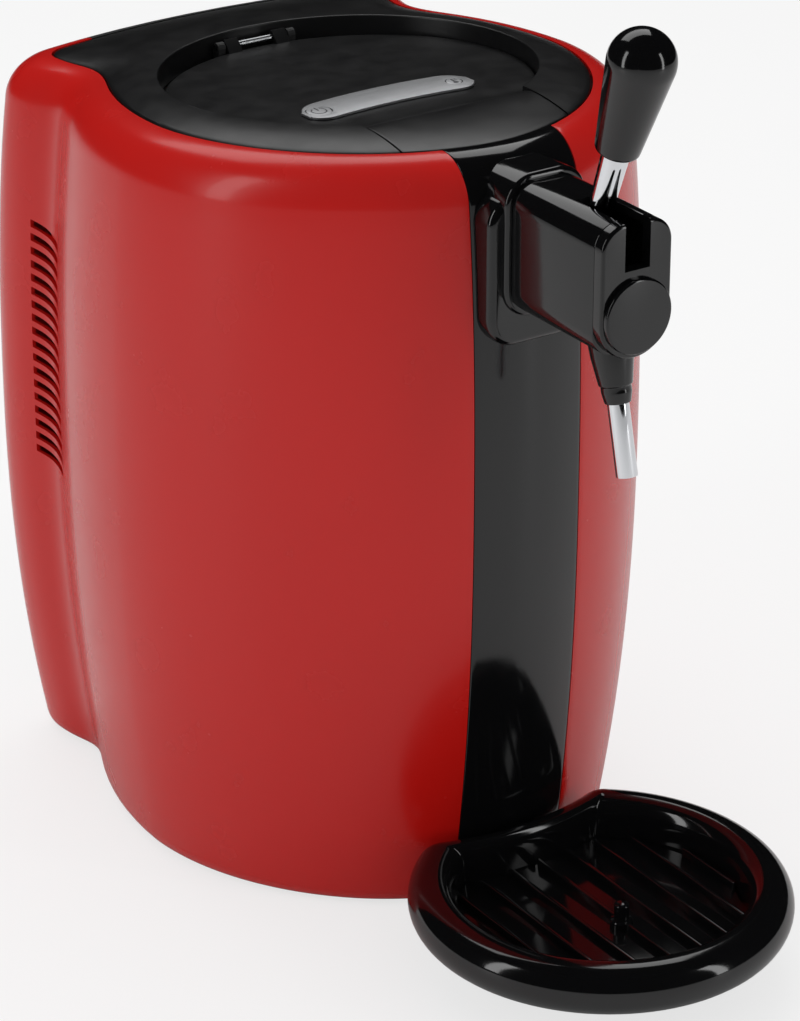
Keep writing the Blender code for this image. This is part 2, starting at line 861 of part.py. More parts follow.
tap_outline = rounded_box_outline(-tap_half_width, tap_half_width, tap_bottom, tap_top, tap_corner, 6)
arm = solid("tap_arm", slab(tap_outline, -arm_front, -arm_rear, axis="Y"), "black_gloss")
hollow_outline = rounded_box_outline(-tap_half_width + tap_wall, tap_half_width - tap_wall,
                                     tap_bottom + tap_wall, tap_top - tap_wall,
                                     tap_corner - tap_wall, 4)
combine(arm, slab(hollow_outline, -arm_front - cut_overrun, -arm_rear - tap_wall, axis="Y"))
combine(arm, slab(rounded_box_outline(-tap_hole_half_width, tap_hole_half_width, tap_hole_bottom,
                                      tap_hole_top, tap_corner * 0.5),
                  -arm_front, -arm_rear + cut_overrun, axis="Y"))
lever_slot_rear = lever_axis_y + stem_radius - (tap_top - lever_axis_z) * math.tan(lever_lean) + 0.0045
combine(arm, block(-lever_slot_width / 2, lever_slot_width / 2, -arm_front - cut_overrun,
                   lever_slot_rear, tap_top - tap_wall * 2, tap_top + cut_overrun))

# Pivot pin and its bosses

pin_radius = 0.0020
pin_sunk = 0.0008
pin_end = tap_half_width - pin_sunk
pin_blind = tap_half_width - tap_wall / 2
combine(arm, rod(pin_radius + touch_gap, (-pin_blind, lever_axis_y, lever_axis_z),
                 (tap_half_width + cut_overrun, lever_axis_y, lever_axis_z)))
solid("lever_pivot_pin", rod(pin_radius, (-pin_blind + touch_gap, lever_axis_y, lever_axis_z),
                             (pin_end, lever_axis_y, lever_axis_z)), "steel")

# Spout: holder and tube lean forward

spout_radius = 0.0050
spout_bore = 0.0037
spout_length = 0.0460
holder_bore_depth = 0.0120
holder_radii = (0.0108, 0.0098, 0.0078, 0.0070, 0.0070, 0.0060)
holder_lengths = (0.0, 0.0060, 0.0190, 0.0195, 0.0225, 0.0275)
spout_mouth = spout_radius + touch_gap
spout_start = Vector((0, spout_top_y, tap_bottom))
spout_down = Vector((0, -math.sin(spout_lean), -math.cos(spout_lean)))
spout_turn = Vector((0, 0, 1)).rotation_difference(spout_down).to_matrix().to_4x4()
spout_place = Matrix.Translation(spout_start) @ spout_turn

holder = solid("spout_holder", moved(turned(
    [(r, -0.0060 if i == 0 else h) for i, (r, h) in enumerate(zip(holder_radii, holder_lengths))], 28),
    spout_place), "black_gloss")
tube_start = holder_lengths[-1] - holder_bore_depth
combine(holder, moved(turned([(spout_mouth, tube_start - touch_gap),
                              (spout_mouth, holder_lengths[-1] + cut_overrun)], 24), spout_place))
combine(holder, moved(turned([(spout_bore, -cut_overrun * 4),
                              (spout_bore, holder_lengths[-1])], 20), spout_place))
combine(holder, block(-tap_half_width * 2, tap_half_width * 2, -tap_face * 1.2, -arm_rear,
                      tap_bottom - touch_gap, tap_top))
combine(arm, moved(turned([(spout_mouth, -tap_wall * 3), (spout_mouth, tap_wall * 2)], 20), spout_place))

tube_end = tube_start + spout_length
solid("spout_tube", moved(turned([
    (spout_radius, tube_start), (spout_radius, tube_end), (spout_bore, tube_end), (spout_bore, tube_start),
], 28, closed=True), spout_place), "chrome")

# Cover on the front of the tap

boss_radius = tap_half_width - 0.0012
boss_proud = 0.0030
boss_centre = tap_bottom + tap_half_width
cover_outline = rounded_box_outline(-tap_half_width, tap_half_width, tap_bottom - 0.0015, tap_top,
                                    tap_corner, 6, lower_radius=tap_half_width - 0.0004)
tap_cover = solid("tap_cover", round_rim(slab(cover_outline, -tap_face, -cover_rear, axis="Y"),
                                         "y", -tap_face, 0.0016, 2), "black_gloss")
combine(tap_cover, moved(turned([
    (boss_radius, 0), (boss_radius, boss_proud * 0.5), (boss_radius * 0.93, boss_proud), (0, boss_proud),
    ], 36), Matrix.Translation((0, -tap_face + boss_proud * 0.1, boss_centre)) @ Matrix.Rotation(math.pi / 2, 4, "X")),
    "UNION")
combine(tap_cover, block(-lever_slot_width / 2, lever_slot_width / 2, -tap_face - cut_overrun,
                         -cover_rear + cut_overrun, tap_top - lever_slot_drop, tap_top + cut_overrun))
combine(tap_cover, moved(turned([(holder_radii[0] + touch_gap, -cut_overrun * 3),
                                 (holder_radii[0] + touch_gap, cut_overrun * 3)], 28), spout_place))
anvil_face = 0.2037
anvil_half_width = 0.0065
anvil_top = 0.3400
anvil_bottom = 0.3205
combine(tap_cover, block(-anvil_half_width, anvil_half_width, -cover_rear - cover_depth / 3, -anvil_face,
                         anvil_bottom, anvil_top), "UNION")

# Lever: hub with a finger, stem and knob, turning on the pivot pin

lever_axis = empty("lever_axis", (0, lever_axis_y, lever_axis_z), assembly)
hub_radius = 0.0056
hub_half_width = lever_slot_width / 2 - slide_gap
collar_radius = 0.0066
collar_length = 0.0140
finger_reach = 0.0085
finger_radius = 0.0022
finger_neck = 0.0012
finger_half_width = 0.0035
stem_start = 0.0045
stem_end = 0.0760
knob_start = 0.0605
knob_length = 0.0625
knob_radius = 0.0155
knob_foot_radius = 0.0104
knob_join = math.radians(-6.7)
knob_bore = stem_top_radius + touch_gap
lean_place = (Matrix.Translation((0, lever_axis_y, lever_axis_z)) @ Matrix.Rotation(lever_lean, 4, "X"))

hub = solid("lever_hub", slab(circle(hub_radius, (lever_axis_y, lever_axis_z), 28),
                              -hub_half_width, hub_half_width, axis="X"), "black_matte", lever_axis)
finger_low = lever_axis_z - finger_reach
combine(hub, block(-finger_half_width, finger_half_width, lever_axis_y - finger_neck,
                   lever_axis_y + finger_neck, finger_low, lever_axis_z), "UNION")
combine(hub, slab(circle(finger_radius, (lever_axis_y, finger_low), 20),
                  -finger_half_width, finger_half_width, axis="X"), "UNION")
combine(hub, moved(turned([(collar_radius, 0), (collar_radius, collar_length)], 20), lean_place), "UNION")
combine(hub, rod(pin_radius + touch_gap, (-tap_half_width, lever_axis_y, lever_axis_z),
                 (tap_half_width, lever_axis_y, lever_axis_z), 20))
combine(hub, moved(turned([(stem_radius + touch_gap, stem_start - touch_gap),
                           (stem_radius + touch_gap, hub_radius * 4)], 18), lean_place))

solid("lever_stem", moved(turned([(0, stem_start), (stem_radius, stem_start), (stem_radius, collar_length),
                                  (stem_top_radius, knob_start), (stem_top_radius, stem_end),
                                  (0, stem_end)], 18), lean_place), "chrome", lever_axis)


def knob_profile():
    """Tapered grip that ends in a ball, as (radius, height along the lever)."""
    top = knob_start + knob_length
    ball = top - knob_radius
    points = [(knob_bore, knob_start), (knob_foot_radius - 0.0012, knob_start),
              (knob_foot_radius, knob_start + 0.0016)]
    for i in range(9):
        turn = knob_join + (math.pi / 2 - knob_join) * i / 8
        radius = knob_radius * math.cos(turn)
        points.append((0 if i == 8 else radius, ball + knob_radius * math.sin(turn)))
    points += [(0, stem_end + touch_gap), (knob_bore, stem_end + touch_gap)]
    return points


def knob():
    """The grip is turned in one piece, with a blind bore for the stem."""
    outer = knob_profile()
    bore_top = outer[-2][1]
    skin = outer[:-2]
    return turned([(0, bore_top), (knob_bore, bore_top)] + skin, 28)


solid("lever_knob", moved(knob(), lean_place), "black_gloss", lever_axis)

# Pinch bar under the lever hub, with its spring behind

pinch_axis = empty("pinch_axis", (0, lever_axis_y, tap_bottom + tap_wall), assembly)
bar_half_width = 0.0070
bar_bottom = tap_bottom + tap_wall + touch_gap
bar_top = lever_axis_z - 0.0064
bar_front = -0.1995
bar_rear = -0.1740
nose_face = -0.2015
nose_radius = 0.0022
notch_gap = 0.0003
spring_radius = 0.0026
spring_wire = 0.0004
spring_turns = 4
spring_length = 0.0088
wall_face = -arm_rear - tap_wall

bar = solid("pinch_bar", block(-bar_half_width, bar_half_width, bar_front, bar_rear, bar_bottom, bar_top),
            "black_matte", pinch_axis)
combine(bar, slab(circle(nose_radius, (nose_face + nose_radius, (bar_bottom + bar_top) / 2), 20),
                  -bar_half_width, bar_half_width, axis="X"), "UNION")
combine(bar, block(-finger_half_width - slide_gap, finger_half_width + slide_gap,
                   lever_axis_y - finger_radius - notch_gap, lever_axis_y + finger_radius + notch_gap,
                   finger_low - finger_radius - slide_gap, bar_top + cut_overrun))


def coil(radius, wire, turns, length, steps=8, sides=4):
    """A round wire wound upward from the origin, its ends level."""
    rings = []
    count = turns * steps
    for i in range(count + 1):
        turn = 2 * math.pi * i / steps
        rise = wire + (length - 2 * wire) * i / count
        ring = []
        for k in range(sides):
            way = 2 * math.pi * k / sides
            reach = radius + wire * math.cos(way)
            ring.append((reach * math.cos(turn), reach * math.sin(turn), rise + wire * math.sin(way)))
        rings.append(ring)
    return loft(rings)


bar_level = (bar_bottom + bar_top) / 2
spring_place = (Matrix.Translation((0, wall_face - touch_gap, bar_level)) @ Matrix.Rotation(math.pi / 2, 4, "X"))
solid("pinch_spring", moved(coil(spring_radius, spring_wire, spring_turns, spring_length), spring_place), "steel")
spigot_radius = spring_radius - spring_wire - touch_gap
combine(arm, rod(spigot_radius, (0, wall_face + tap_wall / 2, bar_level),
                 (0, wall_face - spring_length * 0.8, bar_level), 14), "UNION")


# Lid hinge line

hinge_y = 0.0925
hinge_z = deck(hinge_y) - 0.0010
hinge_pin_radius = 0.0015
hinge_pin_half = 0.0220
lug_radius = 0.0030
lug_x0 = 0.0100
lug_x1 = 0.0175
ear_x0 = 0.0182
ear_x1 = 0.0222
lid_axis = empty("lid_axis", (0, hinge_y, hinge_z), assembly)


# Deck ring

def ring_rise(x, y):
    """Crown of the deck at a place between the housing edge and the lid opening."""
    reach = math.hypot(x, y - lid_centre)
    way = Vector((x, y - lid_centre)).normalized()
    outer = outline_reach(way)
    share = (outer - reach) / (outer - lid_opening_radius)
    share = min(max(share, 0.0), 1.0)
    return ring_crown * (1 - (1 - share) ** 2)


widest_span = math.radians(11)


def deck_section(inset):
    """A plan section for the deck, its long spans split so that the round opening stays round."""
    steps = {"front_steps": 11, "flank_steps": 2, "valley_steps": 4, "corner_steps": 3, "rear_steps": 3}
    base_line = full_section(deck_inset + ring_gap, **steps)
    section = full_section(inset, **steps)
    points = []
    for i in range(len(section)):
        j = (i + 1) % len(section)
        (ax, ay), (bx, by) = base_line[i], base_line[j]
        span = Vector((ax, ay - lid_centre)).angle(Vector((bx, by - lid_centre)))
        pieces = max(1, math.ceil(span / widest_span))
        for k in range(pieces):
            points.append(tuple(p + (q - p) * k / pieces for p, q in zip(section[i], section[j])))
    return points


deck_outline = deck_section(deck_inset + ring_gap)


def outline_reach(way):
    """Distance from the lid's centre to the deck outline along a direction."""
    best = 0.0
    count = len(deck_outline)
    for i in range(count):
        ax, ay = deck_outline[i][0], deck_outline[i][1] - lid_centre
        bx, by = deck_outline[(i + 1) % count][0], deck_outline[(i + 1) % count][1] - lid_centre
        ex, ey = bx - ax, by - ay
        cross = way[0] * ey - way[1] * ex
        if abs(cross) < 1e-12:
            continue
        reach = (ax * ey - ay * ex) / cross
        along = (ax * way[1] - ay * way[0]) / cross
        if reach > best and -1e-9 <= along <= 1 + 1e-9:
            best = reach
    return best


def deck_ring():
    """The fixed deck: outer skirt with a lip under the housing, crowned top, inner wall."""
    lip = deck_inset - ring_lip_reach
    edge = deck_inset + ring_gap

    def outer(inset, drop):
        return [(x, y, deck(y) - drop) for x, y in deck_section(inset)]

    ways = [Vector((x, y - lid_centre)).normalized() for x, y in deck_outline]

    def between(share, drop):
        ring = []
        for (x, y), way in zip(deck_outline, ways):
            px = x + (way[0] * lid_opening_radius - x) * share
            py = y + (lid_centre + way[1] * lid_opening_radius - y) * share
            rise = ring_crown * (1 - (1 - share) ** 2)
            ring.append((px, py, deck(py) + rise - drop))
        return ring

    def wall(radius, drop):
        ring = []
        for way in ways:
            px, py = way[0] * radius, lid_centre + way[1] * radius
            ring.append((px, py, deck(py) - drop))
        return ring

    outer_wall = lid_opening_radius + ring_wall
    drop_low = ring_wall_drop
    under = ring_thickness - ring_crown
    rings = [
        outer(edge, 0.0), between(0.3, 0.0), between(0.65, 0.0), between(1.0, 0.0),
        wall(lid_opening_radius, drop_low), wall(outer_wall, drop_low),
        wall(outer_wall, under + 0.0004), between(0.5, ring_thickness),
        outer(edge + ring_wall, ring_thickness), outer(edge + ring_wall, ring_skirt + ring_lip_thickness),
        outer(lip, ring_skirt + ring_lip_thickness), outer(lip, ring_skirt), outer(edge, ring_skirt),
    ]
    return hoop(rings)


tongue_floor = 0.0034
shelf_rise = 0.0004
shelf_depth = 0.0020
throat_radius = 0.0931
notch_half_width = tongue_half_width + lid_gap
ring_post_radius = 0.0040
ring_post_circle = 0.1010


def sloped_slab(outline, drop_low, drop_high):
    """A flat outline given thickness between two depths under the sloping deck."""
    return loft([[(x, y, deck(y) - drop) for x, y in outline] for drop in (drop_low, drop_high)])


def shelf_outline():
    """From the skirt at the front back to the throat of the chamber."""
    half = notch_half_width + ring_wall
    edge = deck_inset + ring_gap + ring_wall / 2
    count = 10
    xs = [half * (2 * i / count - 1) for i in range(count + 1)]
    front = [(x, front_edge(x, edge)) for x in xs]
    radius = lid_opening_radius + ring_wall / 2
    back = [(x, lid_centre - math.sqrt(radius ** 2 - x ** 2)) for x in reversed(xs)]
    return front + back


def throat_outline():
    """The part of the chamber's throat that lies in front, under the tongue."""
    count = 16
    half = notch_half_width
    xs = [half * (2 * i / count - 1) for i in range(count + 1)]
    front = [(x, lid_centre - math.sqrt(throat_radius ** 2 - x ** 2)) for x in xs]
    return front + [(half, -half), (-half, -half)]


ring = solid("deck_ring", deck_ring(), "black_satin")
combine(ring, sloped_slab([(-notch_half_width, -front_reach), (notch_half_width, -front_reach),
                           (notch_half_width, -notch_half_width), (-notch_half_width, -notch_half_width)],
                          tongue_floor, -ring_crown * 3))
combine(ring, sloped_slab(shelf_outline(), tongue_floor + shelf_rise + shelf_depth, tongue_floor + shelf_rise),
        "UNION")
combine(ring, sloped_slab(throat_outline(), ring_wall_drop * 2, -ring_crown * 3))
column_span = column_half_width + column_flange + slide_gap * 2
lip_cut = [(column_span * (i / 4 - 1), front_edge(column_span * (i / 4 - 1), deck_inset + ring_gap - touch_gap))
           for i in range(9)]
combine(ring, sloped_slab(lip_cut + [(column_span, -front_reach), (-column_span, -front_reach)],
                          ring_skirt + ring_lip_thickness * 2, -ring_crown))
for index in range(4):
    turn = math.pi * (0.25 + 0.5 * index)
    x = ring_post_circle * math.cos(turn)
    y = lid_centre + ring_post_circle * math.sin(turn)
    combine(ring, rod(ring_post_radius, (x, y, foam_top + touch_gap), (x, y, deck(y) + ring_crown * 0.2)), "UNION")


# Lid

def lid_rise(x, y):
    """Height of the lid's top over the deck plane: dished disc, then the tongue's crown."""
    span = math.hypot(x, y - lid_centre) / lid_opening_radius
    dish = ring_crown - lid_recess + lid_dome * (1 - min(span, 1.0) ** 2)
    share = (-y - tongue_blend_start) / (tongue_blend_end - tongue_blend_start)
    share = min(max(share, 0.0), 1.0)
    share = share * share * (3 - 2 * share)
    return dish + (ring_rise(x, y) - dish) * share


lid_side_radius = lid_opening_radius - lid_gap
lid_rear_radius = lid_opening_radius - lid_gap - lid_groove


def lid_outline():
    """The disc's rear and sides, then the tongue out to the deck outline."""
    half = tongue_half_width
    seam = lid_centre - math.sqrt(lid_side_radius ** 2 - half ** 2)
    start = math.atan2(seam - lid_centre, half)
    end = math.pi - start
    points = []
    steps = 28
    for i in range(steps + 1):
        turn = start + (end - start) * i / steps
        radius_y = lid_rear_radius if math.sin(turn) > 0 else lid_side_radius
        points.append((lid_side_radius * math.cos(turn), lid_centre + radius_y * math.sin(turn)))
    edge = deck_inset + ring_gap
    tip = front_edge(half, edge)
    for i in (1, 2):
        points.append((-half, seam + (tip - seam) * i / 3))
    count = 6
    for i in range(count + 1):
        x = -half + 2 * half * i / count
        points.append((x, front_edge(x, edge)))
    for i in (2, 1):
        points.append((half, seam + (tip - seam) * i / 3))
    return points


def lid_skin():
    shares = (0.26, 0.38, 0.46, 0.55, 0.65, 0.82, 1.0)
    outline = lid_outline()
    top, bottom = [], []
    for share in shares:
        ring_points = [(x * share, lid_centre + (y - lid_centre) * share) for x, y in outline]
        top.append([(x, y, deck(y) + lid_rise(x, y)) for x, y in ring_points])
        bottom.append([(x, y, deck(y) + lid_rise(x, y) - lid_thickness) for x, y in ring_points])
    return loft(list(bottom) + list(reversed(top)))


lid = solid("lid_panel", lid_skin(), "black_satin", lid_axis)
for side in (-1, 1):
    x0, x1 = sorted((side * lug_x0, side * lug_x1))
    lug = [(hinge_y + lug_radius * math.cos(a), hinge_z + lug_radius * math.sin(a))
           for a in [math.pi * (-0.5 + i / 8) for i in range(9)]]
    web_front = lid_centre + lid_rear_radius - 0.0040
    web_low = deck(web_front) + lid_rise(0, web_front) - lid_thickness * 0.9
    lug += [(hinge_y - lug_radius, hinge_z + lug_radius * 0.1), (web_front, web_low + lid_thickness * 0.5),
            (web_front, web_low)]
    combine(lid, slab(lug, x0, x1, axis="X"), "UNION")
combine(lid, rod(hinge_pin_radius + touch_gap, (-hinge_pin_half, hinge_y, hinge_z),
                 (hinge_pin_half, hinge_y, hinge_z), 16))

# Plug under the lid: tub, foam and seal

plug_top_radius = 0.0832
plug_low_radius = 0.0785
plug_bottom = 0.3380
plug_wall = 0.0020
plug_rim_gap = 0.0024
plug_level = 0.3620
seal_low = 0.3555
seal_high = 0.3590
seal_radius = 0.0857


def plug_tub():
    """A shallow tub whose rim follows the underside of the lid."""
    steps = 36
    turns = [2 * math.pi * i / steps for i in range(steps)]

    def level_ring(radius, z):
        return [(radius * math.cos(a), chamber_centre + radius * math.sin(a), z) for a in turns]

    def rim_ring(radius):
        ring = []
        for a in turns:
            x, y = radius * math.cos(a), chamber_centre + radius * math.sin(a)
            ring.append((x, y, deck(y) + lid_rise(x, y) - lid_thickness - plug_rim_gap))
        return ring

    inner_top = plug_top_radius - plug_wall
    inner_low = plug_low_radius - plug_wall
    return loft([level_ring(plug_low_radius, plug_bottom), level_ring(plug_top_radius, plug_level),
                 rim_ring(plug_top_radius), rim_ring(inner_top), level_ring(inner_top, plug_level),
                 level_ring(inner_low, plug_bottom + plug_wall)])


solid("lid_plug", plug_tub(), "liner_grey", lid_axis)
foam_low = plug_bottom + plug_wall + touch_gap
foam_high = plug_level - 0.0020
solid("lid_foam", moved(turned([
    (plug_low_radius - plug_wall - touch_gap, foam_low),
    (plug_top_radius - plug_wall - touch_gap * 4, foam_high),
], 36), chamber_place), "foam", lid_axis)
seal_inner = plug_top_radius + touch_gap
solid("lid_seal", moved(turned([
    (seal_inner, seal_low), (seal_radius, seal_low + 0.0010), (seal_radius, seal_high - 0.0010),
    (seal_inner, seal_high),
], 36, closed=True), chamber_place), "rubber", lid_axis)

solid("lid_hinge_pin", rod(hinge_pin_radius, (-hinge_pin_half, hinge_y, hinge_z),
                           (hinge_pin_half, hinge_y, hinge_z)), "steel")

bracket_base = 0.0025
bracket_front = chamber_centre + liner_outer + touch_gap * 2
bracket_rear = bracket_front + 0.0170
ear_low = foam_top + touch_gap
ear_radius = 0.0028
bracket = solid("lid_hinge_bracket", block(-ear_x1, ear_x1, bracket_front, bracket_rear, ear_low,
                                           ear_low + bracket_base), "steel")
for side in (-1, 1):
    x0, x1 = sorted((side * ear_x0, side * ear_x1))
    ear = [(hinge_y + ear_radius * math.cos(a), hinge_z + ear_radius * math.sin(a))
           for a in [math.pi * i / 8 for i in range(9)]]
    ear += [(hinge_y - ear_radius, liner_top + ear_radius), (bracket_front, liner_top),
            (bracket_front, ear_low), (hinge_y + ear_radius, ear_low)]
    combine(bracket, slab(ear, x0, x1, axis="X"), "UNION")
combine(bracket, rod(hinge_pin_radius + touch_gap, (-hinge_pin_half * 1.2, hinge_y, hinge_z),
                     (hinge_pin_half * 1.2, hinge_y, hinge_z), 16))


# Badge with its button and indicator

badge_half_width = 0.0465
badge_half_depth = 0.0116
badge_centre = -0.0272
badge_bow = 0.0070
badge_thickness = 0.0012
button_x = -0.0384
button_radius = 0.0062
button_travel = 0.0006
indicator_x = 0.0377
indicator_radius = 0.0040


def lid_level(x, y):
    return deck(y) + lid_rise(x, y)


def badge():
    """A bowed bar with round ends that lies on the dished lid."""
    steps = 14
    upper, lower = [], []
    for i in range(steps + 1):
        x = badge_half_width * (2 * i / steps - 1)
        bow = badge_centre + badge_bow * (1 - (x / badge_half_width) ** 2) * 0.5
        room = max(badge_half_depth ** 2 - max(abs(x) - badge_half_width + badge_half_depth, 0) ** 2, 0)
        half = max(math.sqrt(room), badge_half_depth * 0.35)
        upper.append((x, bow + half))
        lower.append((x, bow - half))
    outline = lower + list(reversed(upper))
    low = [(x, y, lid_level(x, y) + touch_gap) for x, y in outline]
    high = [(x, y, lid_level(x, y) + touch_gap + badge_thickness) for x, y in outline]
    return outline, low, high, steps


def badge_solid():
    outline, low, high, steps = badge()
    bm = bmesh.new()
    lows = [bm.verts.new(p) for p in low]
    highs = [bm.verts.new(p) for p in high]
    count = len(outline)
    for i in range(count):
        j = (i + 1) % count
        bm.faces.new((lows[i], lows[j], highs[j], highs[i]))
    for row in (lows, highs):
        for i in range(steps):
            bm.faces.new((row[i], row[i + 1], row[count - 2 - i], row[count - 1 - i]))
    return bm


badge_part = solid("badge_plate", badge_solid(), "brushed_silver", lid_axis)


def bow_at(x):
    return badge_centre + badge_bow * (1 - (x / badge_half_width) ** 2) * 0.5


button_y = bow_at(button_x)
indicator_y = bow_at(indicator_x)
button_level = lid_level(button_x, button_y)
indicator_level = lid_level(indicator_x, indicator_y)
badge_top_rise = touch_gap + badge_thickness
flange_margin = 0.0018
flange_depth = 0.0012
flange_drop = lid_thickness + 0.0008
board_level = plug_level + 0.0010
board_thickness = 0.0014
board_top = board_level + board_thickness
board_half_width = 0.0480
board_front = -0.0440
board_rear = -0.0150
switch_half = 0.0030
switch_height = 0.0035
led_radius = 0.0024
led_height = 0.0060
lid_post_radius = 0.0030
lid_post_places = ((-0.022, -0.024), (0.022, -0.024))


def upright(radius, x, y, low, high, steps=18):
    return rod(radius, (x, y, low), (x, y, high), steps)


for part in (lid, badge_part):
    combine(part, upright(button_radius + touch_gap, button_x, button_y, button_level - cut_overrun * 2,
                          button_level + cut_overrun, 28))
    combine(part, upright(indicator_radius + touch_gap, indicator_x, indicator_y,
                          indicator_level - cut_overrun * 2, indicator_level + cut_overrun))

board = solid("control_board", block(-board_half_width, board_half_width, board_front, board_rear,
                                     board_level, board_top), "board_green", lid_axis)
combine(board, block(button_x - switch_half, button_x + switch_half, button_y - switch_half,
                     button_y + switch_half, board_top - board_thickness / 2, board_top + switch_height), "UNION")
combine(board, upright(led_radius, indicator_x, indicator_y, board_top - board_thickness / 2,
                       board_top + led_height, 16), "UNION")
for x, y in lid_post_places:
    combine(lid, upright(lid_post_radius, x, y, board_top + touch_gap, lid_level(x, y) - lid_thickness / 2, 16),
            "UNION")

button_axis = empty("button_axis", Vector((button_x, button_y, button_level)) - lid_axis.location, lid_axis)
button_top = button_level + badge_top_rise
flange_top = button_level - flange_drop
flange_low = flange_top - flange_depth
button_foot = board_top + switch_height + button_travel + touch_gap
button_stem = 0.0022
solid("power_button", moved(turned([
    (0, button_foot), (button_stem, button_foot), (button_stem, flange_low),
    (button_radius + flange_margin, flange_low), (button_radius + flange_margin, flange_top),
    (button_radius, flange_top), (button_radius, button_top - touch_gap * 2),
    (button_radius - touch_gap * 2, button_top), (0, button_top),
], 28), Matrix.Translation((button_x, button_y, 0))), "brushed_silver", button_axis)
button_spring_radius = 0.0052
button_spring_wire = 0.0004
button_spring_low = board_top + touch_gap
solid("button_spring", moved(coil(button_spring_radius, button_spring_wire, 4,
                                  flange_low - touch_gap - button_spring_low),
                             Matrix.Translation((button_x, button_y, button_spring_low))), "steel", lid_axis)

lens_top = indicator_level + badge_top_rise
lens_flange = indicator_level - flange_drop
solid("indicator_lens", moved(turned([
    (0, lens_flange - flange_depth), (indicator_radius + flange_margin, lens_flange - flange_depth),
    (indicator_radius + flange_margin, lens_flange), (indicator_radius, lens_flange),
    (indicator_radius, lens_top - touch_gap), (indicator_radius - touch_gap, lens_top), (0, lens_top),
], 24), Matrix.Translation((indicator_x, indicator_y, 0))), "symbol_grey", lid_axis)


# Drip tray: a lens shaped bowl with a fat rim, and a hook into the column

tray_axis = empty("tray_axis", (0, -tray_centre, tray_bottom), assembly)
tray_horn = 0.0140
tray_horn_least = 0.0035
tray_back_radius = 0.1400
tray_rim = 0.0122
tray_floor = 0.0240
tray_inner = 0.0212
tray_inner_drop = 0.0100
tray_back_share = 0.35
hook_front = 0.1435
hook_back = 0.1190


def tray_outline(inset, front_steps=24, horn_steps=4, back_steps=6):
    """Front circle and hollow rear arc with round horns; the rear rim is the narrower one."""
    horn = max(tray_horn - inset, tray_horn_least)
    back_inset = inset if inset < tray_rim else tray_rim + (inset - tray_rim) * tray_back_share
    near = tray_radius - inset - horn
    far = tray_back_radius + back_inset + horn
    y = (near ** 2 - far ** 2 - tray_centre ** 2) / (2 * tray_centre)
    x = math.sqrt(far ** 2 - y ** 2)
    front_turn = math.atan2(y + tray_centre, x)
    back_turn = math.atan2(y, x)
    points = []
    for i in range(front_steps + 1):
        turn = math.pi - front_turn + (math.pi + 2 * front_turn) * i / front_steps
        points.append(((tray_radius - inset) * math.cos(turn), -tray_centre + (tray_radius - inset) * math.sin(turn)))
    for i in range(1, horn_steps + 1):
        turn = front_turn + (back_turn + math.pi - front_turn) * i / horn_steps
        points.append((x + horn * math.cos(turn), y + horn * math.sin(turn)))
    reach = tray_back_radius + back_inset
    for i in range(1, back_steps):
        turn = back_turn + (-math.pi - 2 * back_turn) * i / back_steps
        points.append((reach * math.cos(turn), reach * math.sin(turn)))
    for i in range(horn_steps):
        turn = front_turn + (back_turn + math.pi - front_turn) * (horn_steps - i) / horn_steps
        points.append((-x - horn * math.cos(turn), y + horn * math.sin(turn)))
    return points


def tray_ring(inset, level):
    return [(x, y, level) for x, y in tray_outline(inset)]


tray_middle = (tray_bottom + tray_top) / 2
tray_half = (tray_top - tray_bottom) / 2
rim_turns = (-90, -45, 0, 45, 90)
bowl = []
for degrees in rim_turns:
    turn = math.radians(degrees)
    bowl.append(tray_ring(tray_rim - tray_rim * math.cos(turn), tray_middle + tray_half * math.sin(turn)))
for degrees in (30, 60, 90):
    turn = math.radians(degrees)
    bowl.append(tray_ring(tray_rim + (tray_inner - tray_rim) * math.sin(turn),
                          tray_top - tray_inner_drop * (1 - math.cos(turn))))
bowl.append(tray_ring(tray_inner + touch_gap * 3, tray_floor))
tray = solid("drip_tray", loft(bowl), "black_gloss", tray_axis)
combine(tray, block(-hook_half_width, hook_half_width, -hook_front - tray_rim / 2, -hook_back,
                    hook_bottom, hook_top), "UNION")

socket_half_width = 0.0215
socket_front = 0.1255
socket_back = 0.1100
socket_top = 0.0350
combine(base, block(-socket_half_width, socket_half_width, -socket_front, -socket_back,
                    base_top - base_thickness / 2, socket_top), "UNION")
combine(base, block(-hook_half_width - slide_gap, hook_half_width + slide_gap, -socket_front - cut_overrun,
                    -hook_back + slide_gap, hook_bottom - slide_gap, hook_top + slide_gap))

# Ribbed insert that lifts out of the tray

insert_axis = empty("insert_axis", (0, 0, tray_floor - tray_bottom), tray_axis)
insert_edge = tray_inner + 0.0022
insert_low = tray_floor + touch_gap
insert_thickness = 0.0020
rib_pitch = 0.0168
rib_last = 0.0645
rib_half_width = 0.0011
rib_top = 0.0302
rib_rear = 0.1575
rib_circle = 0.0676
stud_y = -0.2240
stud_radius = 0.0036
stud_top = 0.0390

insert = solid("tray_insert", loft([tray_ring(insert_edge, insert_low),
                                    tray_ring(insert_edge, insert_low + insert_thickness)]),
               "black_gloss", insert_axis)
for k in range(-4, 5):
    x = max(-rib_last, min(rib_last, k * rib_pitch))
    half_chord = math.sqrt(rib_circle ** 2 - x ** 2)
    combine(insert, block(x - rib_half_width, x + rib_half_width, -tray_centre - half_chord,
                          min(-rib_rear, half_chord - tray_centre),
                          insert_low + insert_thickness / 2, rib_top), "UNION")
combine(insert, moved(turned([
    (stud_radius * 1.5, insert_low + insert_thickness / 2), (stud_radius * 1.5, rib_top),
    (stud_radius, rib_top + touch_gap * 4), (stud_radius, stud_top - stud_radius / 3),
    (stud_radius * 0.7, stud_top), (0, stud_top),
], 20), Matrix.Translation((0, stud_y, 0))), "UNION")


# Screws: base plate to the shells, rear cover to the shells

